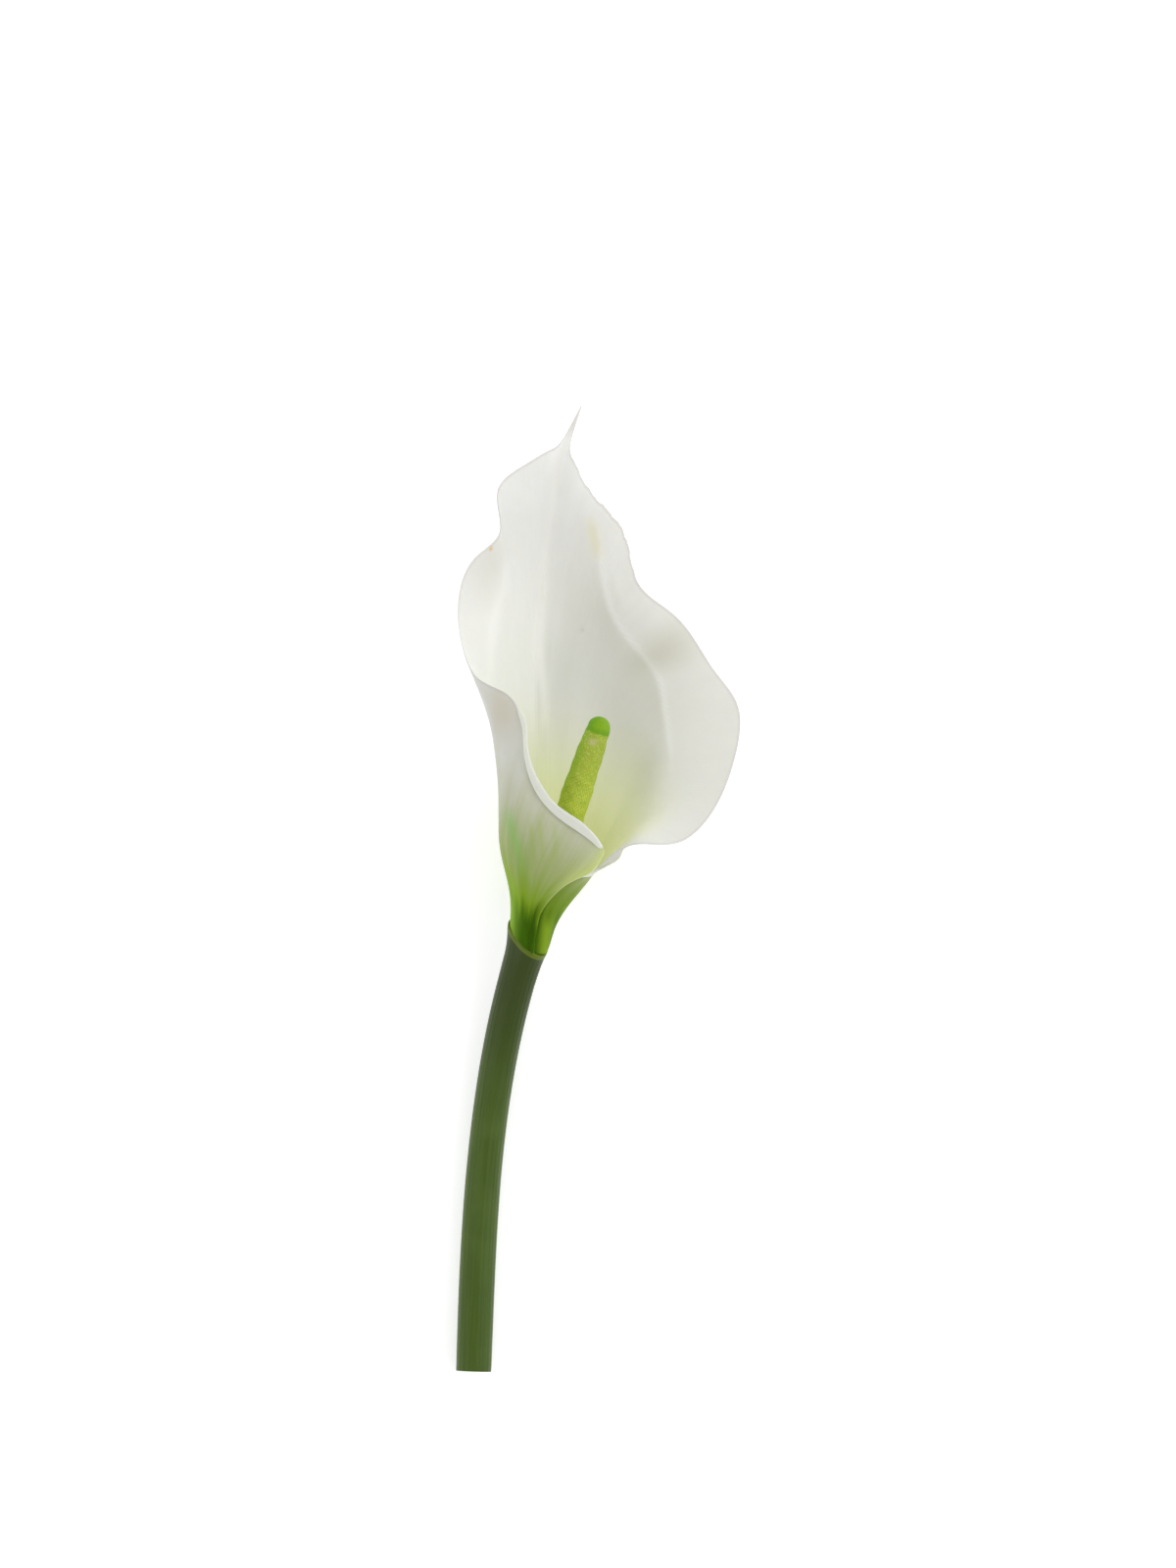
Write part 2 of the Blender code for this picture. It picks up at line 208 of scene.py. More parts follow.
# Strip: low on the right, the tucked edge swells up beside the front edge.
STRIP = ((-13.2, 127.0), (-12.9, 135.0), (-11.6, 144.0))
STRIP_SWELL = 1.1

# Lines on the sheet, as seen from above.
MIDRIB = (
    (-13.6, 190.0), (-13.8, 208.5), (-15.0, 222.0), (-13.8, 237.0), (-13.2, 249.0),
    (-11.4, 261.0), (-10.5, 274.5), (-9.3, 283.0), (-3.2, 293.6),
)
LEFT_RIDGE = ((-24.6, 262.0), (-24.9, 244.5), (-28.5, 232.5), (-30.0, 222.0), (-30.3, 210.0))
RIGHT_RIDGE = (
    (1.2, 270.0), (3.3, 255.0), (4.5, 244.5), (7.5, 232.5), (13.5, 223.5),
    (19.5, 216.0), (22.5, 210.0), (23.4, 203.4), (24.6, 195.0), (26.4, 176.0),
)
RIDGE_FOOT = (
    (-1.6, 262.0), (-0.6, 248.0), (3.4, 230.0), (9.4, 219.0), (15.6, 210.5), (19.0, 202.0), (20.6, 188.0),
)
FAINT_RIDGE = ((7.4, 249.0), (9.2, 239.0), (12.4, 230.0))
OUTER_SHADE = ((17.5, 229.0), (23.0, 221.0), (26.0, 211.0))
LEFT_SHADE = ((-24.0, 264.0), (-29.0, 251.0), (-31.0, 239.0), (-31.0, 227.0))
HOLLOW = ((-7.0, 272.0), (-4.0, 256.0), (-2.0, 240.0), (1.0, 226.0), (3.0, 214.0))
# Painted shade on the front flap's outer face lies along this line.
FLAP_SHADE = ((-28.8, 217.0), (-26.6, 203.0), (-24.2, 188.0))
FLAP_CREASE = ((-27.4, 196.0), (-23.4, 186.0), (-18.9, 179.0))
STAIN = ((-0.6, 264.0), (1.2, 258.5), (2.6, 252.0), (3.0, 246.5))
RUST_SPOT = (-29.7, 252.0)
GREY_SPOT = (-1.8, 227.4)
# Green streaks on the front flap: the line, its half width and how strong it is.
MINT_STREAK = ((-25.2, 175.0), (-22.9, 165.0), (-20.4, 155.0), (-19.6, 146.0))
OLIVE_STREAKS = (
    ((-18.4, 172.0), (-17.0, 163.0), (-15.8, 150.0)),
    ((-15.4, 172.5), (-14.2, 163.0), (-13.6, 152.0)),
    ((-10.6, 170.0), (-10.0, 162.0), (-10.4, 153.0)),
)

# The middle of the view, on the bench, and the length of table that it shows.
VIEW_CENTRE = (0.0, 180.0, 15.0)
VIEW_LENGTH = 480.0
SENSOR_WIDTH = 36.0
# Sheet maps are in hundredths: 1 unit is 100 mm along a piece.
SHEET_SCALE = 0.01
INNER_SHEET_SHIFT = (5.0, 0.0)


def linear(code):
    """The linear colour of a six-digit sRGB code such as ECEBE4."""
    shares = [int(code[i : i + 2], 16) / 255 for i in (0, 2, 4)]
    return tuple(s / 12.92 if s <= 0.04045 else ((s + 0.055) / 1.055) ** 2.4 for s in shares)


def bench_shift():
    """The way from the bench to the frame in millimetres, read from the cut end of the stem in the frame."""
    low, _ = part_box("stem")
    lean = math.radians(STEM_LEAN_AT_CUT)
    reach = STEM_RADII[0][1] * np.array((math.cos(lean), math.sin(lean), 1.0))
    return np.array(low) / MM - (np.array(CUT_END) - reach)


SHIFT = bench_shift()


def to_frame(points):
    """Bench millimetres to frame metres."""
    return (np.asarray(points, float) + SHIFT) * MM


# ---------------------------------------------------------------- curves and surfaces


def natural_spline(knots, values, at):
    """The smooth curve through values at the knots, read at the given places."""
    knots, values, at = (np.asarray(x, float) for x in (knots, values, at))
    steps = np.diff(knots)
    count = len(knots)
    matrix = np.eye(count)
    right = np.zeros_like(values)
    for i in range(1, count - 1):
        matrix[i, i - 1 : i + 2] = steps[i - 1], 2 * (steps[i - 1] + steps[i]), steps[i]
        slope_before = (values[i] - values[i - 1]) / steps[i - 1]
        slope_after = (values[i + 1] - values[i]) / steps[i]
        right[i] = 6 * (slope_after - slope_before)
    bends = np.linalg.solve(matrix, right)
    i = np.clip(np.searchsorted(knots, at, side="right") - 1, 0, count - 2)
    step = steps[i]
    before = ((at - knots[i]) / step)[:, None]
    after = 1 - before
    square = (step**2 / 6)[:, None]
    return (
        after * values[i]
        + before * values[i + 1]
        + square * ((after**3 - after) * bends[i] + (before**3 - before) * bends[i + 1])
    )


def unit(vectors):
    return vectors / np.maximum(np.linalg.norm(vectors, axis=-1), 1e-9)[..., None]


def bezier(handles, shares):
    """Points on the cubic curve through four handles."""
    t = np.asarray(shares, float)[:, None]
    a, b, c, d = handles
    return (1 - t) ** 3 * a + 3 * (1 - t) ** 2 * t * b + 3 * (1 - t) * t**2 * c + t**3 * d


def smooth_step(low, high, x):
    share = np.clip((x - low) / (high - low), 0, 1)
    return share * share * (3 - 2 * share)


def line_band(points, line, width, ends=0.2):
    """A soft band along a line seen from above: 1 in its middle, fading over width and towards its ends."""
    line = np.asarray(line, float)
    knots = np.arange(len(line), dtype=float)
    line = natural_spline(knots, line, np.linspace(0, knots[-1], 10 * len(line)))
    gaps = np.linalg.norm(np.diff(line, axis=0), axis=1)
    before = np.concatenate([[0], np.cumsum(gaps)])
    nearest = np.full(points.shape[:-1], np.inf)
    place = np.zeros(points.shape[:-1])
    for a, b, gap, start in zip(line[:-1], line[1:], gaps, before):
        along = (b - a) / gap
        reach = np.clip((points - a) @ along, 0, gap)
        distance = np.linalg.norm(points - (a + reach[..., None] * along), axis=-1)
        closer = distance < nearest
        nearest = np.where(closer, distance, nearest)
        place = np.where(closer, (start + reach) / before[-1], place)
    band = np.exp(-((nearest / width) ** 2))
    return band * smooth_step(0, ends, place) * smooth_step(1, 1 - ends, place)


def funnel_axes():
    """The funnel's own directions: to its side, along it, and out of its front."""
    lean, rise = math.radians(FUNNEL_LEAN), math.radians(FUNNEL_RISE)
    side = np.array((math.cos(lean), -math.sin(lean), 0.0))
    along = np.array((math.sin(lean) * math.cos(rise), math.cos(lean) * math.cos(rise), math.sin(rise)))
    return side, along, np.cross(side, along)


def ring_angle(angle, closing):
    """Low on the funnel the front edge stands nearer the middle, and the tucked edge reaches further in."""
    front_edge = math.exp(-(((FRONT_EDGE_ANGLE - angle) / CLOSING_SPREAD) ** 2))
    tucked_edge = math.exp(-(((angle - TUCKED_EDGE_ANGLE) / CLOSING_SPREAD) ** 2))
    return angle - closing * (FRONT_EDGE_CLOSING * front_edge + TUCKED_EDGE_CLOSING * tucked_edge)


def ring_point(ring, angle, share):
    """A point on a level ring of the funnel. The sheet winds inwards like a roll as the share grows."""
    side, along, front = funnel_axes()
    radius = RING_RADII[ring] + WINDING * (0.5 - share)
    turn = math.radians(ring_angle(angle, RING_CLOSINGS[ring]))
    centre = np.array(NECK) + RING_HEIGHTS[ring] * along + RING_SHIFTS[ring] * side
    return centre + radius * (math.sin(turn) * side + math.cos(turn) * front)


def climb(points, count_wall, count_hem):
    """A smooth line through the points, with even steps up to the hem and short ones in it."""
    points = np.array(points, float)
    gaps = np.linalg.norm(np.diff(points, axis=0), axis=1)
    knots = np.concatenate([[0], np.cumsum(np.sqrt(gaps))])
    fine = np.linspace(0, knots[-1], 1200)
    line = natural_spline(knots, points, fine)
    lengths = np.concatenate([[0], np.cumsum(np.linalg.norm(np.diff(line, axis=0), axis=1))])
    wall = np.linspace(0, lengths[-1] - HEM, count_wall)
    hem = np.linspace(lengths[-1] - HEM, lengths[-1], count_hem + 1)[1:]
    return natural_spline(knots, points, np.interp(np.concatenate([wall, hem]), lengths, fine))


def station_knots():
    """Knots that follow the spacing of the stations along the rim."""
    rim = np.array([points[-1] for _, _, _, points in STATIONS])
    gaps = np.linalg.norm(np.diff(rim, axis=0), axis=1)
    return np.concatenate([[0], np.cumsum(np.sqrt(gaps))])


def column_places(knots, count):
    """Where the columns stand. They crowd together near the tip and the front edge."""
    tip = knots[TIP_STATION]
    fine = np.linspace(knots[0], knots[-1], 2000)
    density = 1 + TIP_CROWDING * np.exp(-(((fine - tip) / CROWD_WIDTH) ** 2))
    density += EDGE_CROWDING * np.exp(-(((fine - knots[0]) / CROWD_WIDTH) ** 2))
    share = np.concatenate([[0], np.cumsum((density[1:] + density[:-1]) / 2)])
    places = np.interp(np.linspace(0, share[-1], count), share, fine)
    places[np.argmin(np.abs(places - tip))] = tip
    return places


def roll_hem(surface, rolls, count_wall):
    """Turns the last rows outwards where the rim is rolled: a short straight run, then a flat curl."""
    start = surface[count_wall - 1]
    up = unit(start - surface[count_wall - 2])
    out = unit(np.cross(up, np.gradient(start, axis=0)))
    radius = ROLL_RADIUS * np.maximum(rolls, 1e-3)
    run = ROLL_RUN * rolls
    total = run + radius * math.radians(ROLL_TURN)
    rows = surface.shape[0]
    for r in range(count_wall, rows):
        way = total * (r - count_wall + 1) / (rows - count_wall)
        turn = np.maximum(way - run, 0) / radius
        reach = (np.minimum(way, run) + radius * np.sin(turn))[:, None]
        closed = 1 - ROLL_CLOSES * smooth_step(math.pi / 2, math.radians(ROLL_TURN), turn)
        rise = (ROLL_FLATNESS * radius * (1 - np.cos(turn)) * closed)[:, None]
        rolled = start + reach * up + rise * out
        blend = smooth_step(0, ROLL_BLENDS_AT, rolls)[:, None]
        surface[r] = (1 - blend) * surface[r] + blend * rolled
    return surface


def round_corner(surface):
    """Rounds the corner between the front edge and the rim by shortening the first columns."""
    from_edge = lengths_along(surface, 1)[-1]
    for column in np.flatnonzero(from_edge < CORNER_RADIUS):
        cut = CORNER_RADIUS - math.sqrt(CORNER_RADIUS**2 - (CORNER_RADIUS - from_edge[column]) ** 2)
        line = surface[:, column].copy()
        lengths = lengths_along(line, 0)
        shorter = lengths * (1 - cut / lengths[-1])
        for axis in range(3):
            surface[:, column, axis] = np.interp(shorter, lengths, line[:, axis])
    return surface


def draw_tail(surface, places, knots):
    """Pulls the tip out into a thin tail, and lets the sheet round it sag a little."""
    rise = np.linspace(0, 1, len(surface))
    from_tip = np.abs(places - knots[TIP_STATION])
    climbed = np.clip((rise - TAIL_START) / (1 - TAIL_START), 0, 1)[:, None]
    pull = climbed**TAIL_POWER * np.exp(-((from_tip / TAIL_WIDTH) ** TAIL_FULLNESS))
    sag = smooth_step(SAG_START, 1.0, rise)[:, None] * np.exp(-((from_tip / SAG_WIDTH) ** 2))
    move = np.stack([TAIL[0] * pull, TAIL[1] * pull, -TAIL_SAG * sag], axis=-1)
    return surface + move


def frill_margin(surface, places, knots):
    """Small uneven waves along the margin to the right of the tip."""
    start, end = knots[TIP_STATION] + 0.4, knots[TIP_STATION + 4]
    window = smooth_step(start, start + 1, places) * smooth_step(end, end - 1.5, places)
    way = lengths_along(surface, 1)[-1]
    wave = sum(height * np.sin(way * turns + start_turn) for height, turns, start_turn in FRILLS)
    near = smooth_step(0.9, 1.0, np.linspace(0, 1, len(surface)))
    up = unit(surface[-1] - surface[-2])
    return surface + (near[:, None] * (window * wave)[None, :])[..., None] * up[None]


def collar_lift(to_side, to_front):
    """How far the collar's rim stands above or below the neck, for a direction round the funnel."""
    return COLLAR_RISE - COLLAR_LEFT * to_side + COLLAR_FRONT * to_front


def seat_on_collar(surface, angles):
    """Draws the foot of the sheet down to the collar where the collar dips."""
    _, along, _ = funnel_axes()
    turn = np.radians([ring_angle(angle, RING_CLOSINGS[0]) for angle in angles])
    drop = np.minimum(collar_lift(np.sin(turn), np.cos(turn)) - FOOT_TUCK, 0)
    above = lengths_along(surface, 0)
    return surface + (smooth_step(FOOT_REACH, 0, above) * drop)[..., None] * along


def spathe_surface(columns, count_wall, count_hem):
    """The spathe's outer face as rows by columns by three, with each column's angle round the funnel."""
    last = len(STATIONS) - 1
    lines = []
    for place, (_, angle, _, points) in enumerate(STATIONS):
        rings = [ring_point(ring, angle, place / last) for ring in range(3)]
        lines.append(climb(rings + list(points), count_wall, count_hem))
    lines = np.array(lines)
    knots = station_knots()
    places = column_places(knots, columns)
    surface = np.array([natural_spline(knots, lines[:, r], places) for r in range(lines.shape[1])])
    rolls = natural_spline(knots, np.array([[roll] for _, _, roll, _ in STATIONS]), places)[:, 0]
    surface = roll_hem(surface, np.clip(rolls, 0, 1), count_wall)
    surface = frill_margin(draw_tail(round_corner(surface), places, knots), places, knots)
    angles = np.interp(places, knots, [angle for _, angle, _, _ in STATIONS])
    return seat_on_collar(surface, angles), angles


def outward(surface):
    """Unit normals of a grid, pointing out of the funnel."""
    return unit(np.cross(np.gradient(surface, axis=0), np.gradient(surface, axis=1)))


def lengths_along(surface, axis):
    """Running length along one axis of a grid, in millimetres."""
    steps = np.linalg.norm(np.diff(surface, axis=axis), axis=-1)
    total = np.cumsum(steps, axis=axis)
    first = np.zeros_like(np.take(total, [0], axis=axis))
    return np.concatenate([first, total], axis=axis)


# ---------------------------------------------------------------- meshes


def new_piece(name, points, faces, marks, sheet_map, material, node):
    """A smooth mesh piece that stands for its CAD node and rides on the flower's one body."""
    mesh = bpy.data.meshes.new(name)
    mesh.from_pydata(to_frame(points).tolist(), [], [tuple(f) for f in faces])
    for mark, values in marks.items():
        attribute = mesh.attributes.new(mark, "FLOAT", "POINT")
        attribute.data.foreach_set("value", np.asarray(values, np.float32).ravel())
    corners = np.zeros(len(mesh.loops), np.int32)
    mesh.loops.foreach_get("vertex_index", corners)
    layer = mesh.uv_layers.new(name="sheet")
    layer.uv.foreach_set("vector", np.asarray(sheet_map, np.float32)[corners].ravel())
    mesh.validate()
    mesh.shade_smooth()
    mesh.materials.append(material)
    piece = bpy.data.objects.new(name, mesh)
    bpy.context.scene.collection.objects.link(piece)
    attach(piece, "root")
    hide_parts(node)
    return piece


def grid_faces(rows, columns, first=0, flip=False):
    """Quads over a grid of vertices that starts at the given index."""
    index = first + np.arange(rows * columns).reshape(rows, columns)
    a, b, c, d = index[:-1, :-1], index[1:, :-1], index[1:, 1:], index[:-1, 1:]
    order = (a, d, c, b) if flip else (a, b, c, d)
    return np.stack(order, axis=-1).reshape(-1, 4)


def shell_edge(rows, columns):
    """The indices of a grid's border, once round."""
    index = np.arange(rows * columns).reshape(rows, columns)
    return np.concatenate([index[0, :-1], index[:-1, -1], index[-1, :0:-1], index[:0:-1, 0]])


def across(angles, start, end):
    """Fades in over the columns from one angle round the funnel to another."""
    return smooth_step(start, end, angles)[None, :]


def bump_at(x, place, width):
    """1 at a place, fading over a width on both sides."""
    return np.exp(-(((x - place) / width) ** 2))


def back_of(angles):
    """1 on the sheet's back wall, round from the left lobe to the right one."""
    return across(angles, -100, -112) * across(angles, -268, -250)


def sheet_relief(surface, angles, rise):
    """How far the whole sheet, its outer face and its inner face stand out, in millimetres."""
    seen = surface[..., :2]
    above = lengths_along(surface, 0)
    from_edge = lengths_along(surface, 1)
    back_wall = back_of(angles)
    near_rim = smooth_step(1.0, 0.93, rise)
    # Soft folds of the back wall. The ridges stand inwards.
    folds = 0.4 * line_band(seen, FLAP_CREASE, 2.4, 0.35) * across(angles, -95, -80)
    for line, height, width, ends in (
        (LEFT_RIDGE, -0.55, 2.2, 0.2),
        (RIGHT_RIDGE, -0.5, 2.0, 0.3),
        (RIDGE_FOOT, 0.35, 3.2, 0.25),
        (FAINT_RIDGE, -0.3, 1.2, 0.35),
    ):
        folds += height * line_band(seen, line, width, ends) * back_wall
    turn = np.radians(angles)[None, :]
    swell = np.sin(turn * 9 + rise * 4) * 0.16 + np.sin(turn * 17 - rise * 7 + 1) * 0.06
    veins = np.sin(turn * 74 + 0.8 * np.sin(turn * 11)) * 0.014 + np.sin(turn * 121 + 2) * 0.008
    fade = smooth_step(0.02, 0.25, rise) * smooth_step(1.0, 0.9, rise)
    whole = (folds + swell * smooth_step(0.2, 0.5, rise)) * near_rim + veins * fade
    # Low down, the front edge stands up as a bead beside a groove.
    low = smooth_step(27, 21, above) * across(angles, -60, -20)
    edge = low * (0.15 * bump_at(from_edge, 0.7, 0.65) - 0.25 * bump_at(from_edge, 2.2, 0.6))
    midrib = line_band(seen, MIDRIB, 1.6, 0.12) * back_wall * near_rim
    beads = np.sin(surface[..., 1] * 0.9) * 0.25 + np.sin(surface[..., 1] * 0.37 + 1) * 0.3
    outer = midrib * 0.35 + edge + strip_band(surface, angles) * STRIP_SWELL
    inner = midrib * (0.2 + 0.14 * beads)
    return whole, outer, inner


def strip_band(surface, angles):
    """1 in the middle of the strip, on the tucked sheet's outer face."""
    above = lengths_along(surface, 0)
    tucked = across(angles, -262, -285) * smooth_step(16, 9, above)
    return line_band(surface[..., :2], STRIP, 2.2, 0.1) * tucked


def sheet_marks(surface, angles, inside):
    """Marks that the petal's material reads, one value a vertex. Lengths are in millimetres."""
    seen = surface[..., :2]
    above = lengths_along(surface, 0)
    from_edge = lengths_along(surface, 1)
    from_rim = above[-1:] - above
    full = np.ones(surface.shape[:2])
    inner, outer = float(inside), 1.0 - float(inside)
    back_wall = inner * back_of(angles)
    flap = across(angles, -100, -82)
    front = outer * across(angles, -30, 20)
    low = smooth_step(27, 20, above)

    def near(spot, width):
        return back_wall * bump_at(np.linalg.norm(seen - spot, axis=-1), 0, width)

    # Painted glow, for light through the wall: low in the funnel and up the left wall, less on the right
    # lobe and hem.
    left_wall = across(angles, -198, -152) * smooth_step(30, 60, above) * smooth_step(130, 95, above)
    right_lobe = across(angles, -220, -250) * smooth_step(52, 78, above)
    rolled = flap * smooth_step(7.5, 3.5, from_rim)
    painted_glow_share = np.maximum(0.9 * smooth_step(105, 45, above), 0.8 * left_wall)
    painted_glow_share += 0.35 * left_wall * smooth_step(115, 75, above)
    # Painted highlights along the ridges.
    right_ridge_highlight, left_ridge_highlight = line_band(seen, RIGHT_RIDGE, 0.9, 0.3), line_band(seen, LEFT_RIDGE, 2.0, 0.4)
    shades = (
        (RIDGE_FOOT, 0.2, 4.5, 0.4), (OUTER_SHADE, 0.9, 9.5, 0.5),
        (LEFT_SHADE, 0.45, 5.5, 0.5), (HOLLOW, 0.3, 9.0, 0.35),
    )
    # Painted highlight: along the crease the flap's painted shade is lifted.
    crease_highlight = line_band(seen, FLAP_CREASE, 1.8, 0.3)
    return {
        "above_neck": above,
        "from_rim": from_rim,
        "inside": full * inner,
        "midrib": line_band(seen, MIDRIB, 1.7, 0.12) * back_of(angles),
        "ridge_highlight": back_wall * (right_ridge_highlight + 0.4 * left_ridge_highlight),
        "shade": back_wall * sum(
            most * line_band(seen, line, width, ends) for line, most, width, ends in shades
        ),
        # Painted shade on the front flap's outer face.
        "flap_shade": outer * flap * line_band(seen, FLAP_SHADE, 6.5, 0.5) * (1 - 0.6 * crease_highlight),
        "stain": back_wall * line_band(seen, STAIN, 1.8, 0.4),
        "rust": near(RUST_SPOT, 0.5),
        "speck": near(GREY_SPOT, 0.6),
        # Painted shade: the tail is greyed.
        "tail_shade": smooth_step(285.0, 291.0, seen[..., 1]),
        "hem_turn": inner * flap * smooth_step(5.0, 1.5, from_rim),
        "painted_glow": inner * (1 - 0.3 * rolled) * (1 - 0.85 * right_lobe) * painted_glow_share,
        "mint": outer * flap * line_band(seen, MINT_STREAK, 1.9, 0.3),
        "olive": outer * flap * sum(line_band(seen, line, 0.75, 0.35) for line in OLIVE_STREAKS),
        "strip": outer * strip_band(surface, angles),
        # Painted shade: dark green in the groove beside the front edge.
        "groove_shade": front * smooth_step(22, 11, above) * bump_at(from_edge, 1.9, 1.7),
        "border": front * bump_at(from_edge, 0, 4.0) * (1 - low),
        # Painted highlight: a pale line along the front edge.
        "flap_edge_highlight": front * bump_at(from_edge, 0, 0.45) * (1 - low),
        "right_neck": outer * across(angles, -255, -285) * smooth_step(38, 14, above),
        # Painted light: the left of the neck is lightened.
        "neck_painted_light": outer * across(angles, -15, -75) * smooth_step(26, 6, above) * flap,
        "right_side": full * outer * across(angles, -240, -270),
    }


def closed_shell(surface, outer, inner, depth):
    """One shell from two faces and a rounded edge: its points, its faces and the border's indices."""
    rows, columns = depth.shape
    count = rows * columns
    border = shell_edge(rows, columns)
    up, side = unit(np.gradient(surface, axis=0)), unit(np.gradient(surface, axis=1))
    away = np.zeros_like(surface)
    away[-1] += up[-1]
    away[0] -= up[0]
    away[:, -1] += side[:, -1]
    away[:, 0] -= side[:, 0]
    away = unit(away.reshape(-1, 3)[border])
    flat_outer, flat_inner = outer.reshape(-1, 3), inner.reshape(-1, 3)
    middle = (flat_outer[border] + flat_inner[border]) / 2
    edge = middle + away * (EDGE_FULLNESS * depth.reshape(-1)[border])[:, None]
    here = 2 * count + np.arange(len(border))
    after, border_after = np.roll(here, -1), np.roll(border, -1)
    faces = np.concatenate([
        grid_faces(rows, columns),
        grid_faces(rows, columns, count, flip=True),
        np.stack([border, border_after, after, here], axis=-1),
        np.stack([here, after, count + border_after, count + border], axis=-1),
    ])
    return np.concatenate([flat_outer, flat_inner, edge]), faces, border


def build_spathe(settings):
    surface, angles = spathe_surface(settings.columns, settings.wall_rows, settings.hem_rows)
    above = lengths_along(surface, 0)
    rise = above / above[-1:]
    whole, outer_relief, inner_relief = sheet_relief(surface, angles, rise)
    surface = surface + whole[..., None] * outward(surface)
    normal = outward(surface)
    # The sheet thins towards its rim, and again towards its two side edges.
    thickness, thin = settings.thickness / MM, settings.rim_thickness / MM
    from_side = np.minimum(lengths_along(surface, 1), lengths_along(surface[:, ::-1], 1)[:, ::-1])
    depth = thickness + (thin - thickness) * smooth_step(0.3, 1.0, rise)
    depth = thin * 0.9 + (depth - thin * 0.9) * smooth_step(0, 4, from_side)
    outer = surface + outer_relief[..., None] * normal
    outer[..., 2] = np.maximum(outer[..., 2], -SHIFT[2])
    inner = surface - (depth + inner_relief)[..., None] * normal
    points, faces, border = closed_shell(surface, outer, inner, depth)
    marks_inner = sheet_marks(inner, angles, True)
    marks = {}
    for mark, values in sheet_marks(outer, angles, False).items():
        out, inn = values.reshape(-1), marks_inner[mark].reshape(-1)
        marks[mark] = np.concatenate([out, inn, (out[border] + inn[border]) / 2])
    turned = np.concatenate([[0], np.cumsum(np.abs(np.diff(angles)))])
    sheet = np.stack([np.broadcast_to(turned, above.shape), above], axis=-1).reshape(-1, 2) * SHEET_SCALE
    sheet_map = np.concatenate([sheet, sheet + np.array(INNER_SHEET_SHIFT), sheet[border]])
    return new_piece("calla_spathe", points, faces, marks, sheet_map, petal_material(settings), "spathe")


def ring_turns(sides):
    """The directions of a rod's points round its middle line."""
    return np.linspace(0, 2 * math.pi, sides, endpoint=False)


def rod_frames(line):
    """Directions along, to the side and above at each point of a rod's middle line."""
    along = unit(np.gradient(line, axis=0))
    side = unit(np.cross(along, (0, 0, 1.0)))
    return along, side, np.cross(side, along)


def rod_points(line, radii):
    """Rows of points round a rod's middle line, for radii given as rows by sides."""
    _, side, above = rod_frames(line)
    turn = ring_turns(radii.shape[1])
    ring = np.cos(turn)[None, :, None] * side[:, None] + np.sin(turn)[None, :, None] * above[:, None]
    return line[:, None] + radii[..., None] * ring


def closed_rod(rings, first_point, last_point):
    """Points and faces of a rod that closes round one point at each end."""
    rows, sides = rings.shape[:2]
    index = np.arange(rows * sides).reshape(rows, sides)
    after = np.roll(index, -1, axis=1)
    walls = np.stack([index[:-1], index[1:], after[1:], after[:-1]], axis=-1).reshape(-1, 4)
    first, last = rows * sides, rows * sides + 1
    faces = walls.tolist()
    faces += [(first, a, b) for a, b in zip(index[0].tolist(), after[0].tolist())]
    faces += [(last, b, a) for a, b in zip(index[-1].tolist(), after[-1].tolist())]
    return np.concatenate([rings.reshape(-1, 3), [first_point, last_point]]), faces


def rod_mark(values, sides, first, last):
    """A mark given as rows by sides or as rows by one, and at the two end points."""
    return np.concatenate([np.broadcast_to(values, (len(values), sides)).reshape(-1), [first, last]])


def rod_sheet(lengths, sides, radius):
    """A rod's sheet map: half way round and back again across it, and its length along it."""
    share = np.tile(np.linspace(0, 1, sides, endpoint=False), len(lengths))
    around = np.abs(share * 2 - 1) * math.pi * radius
    sheet = np.stack([around, np.repeat(lengths, sides)], axis=-1)
    return np.concatenate([sheet, [(0, 0), (0, lengths[-1])]]) * SHEET_SCALE


def smoothed(values, reach):
    """Running mean over a number of neighbours on both sides."""
    count = 2 * reach + 1
    return np.convolve(np.pad(values, reach, mode="edge"), np.ones(count) / count, mode="valid")


def stem_line(shares):
    """The stem's middle line: level on the table at the cut, along the funnel at the neck."""
    start, end = np.array(CUT_END), np.array(NECK)
    reach = np.linalg.norm(end - start) / 3
    lean = math.radians(STEM_LEAN_AT_CUT)
    ahead = np.array((math.sin(lean), math.cos(lean), 0.0))
    _, along, _ = funnel_axes()
    return bezier((start, start + ahead * reach, end - along * reach, end), shares)


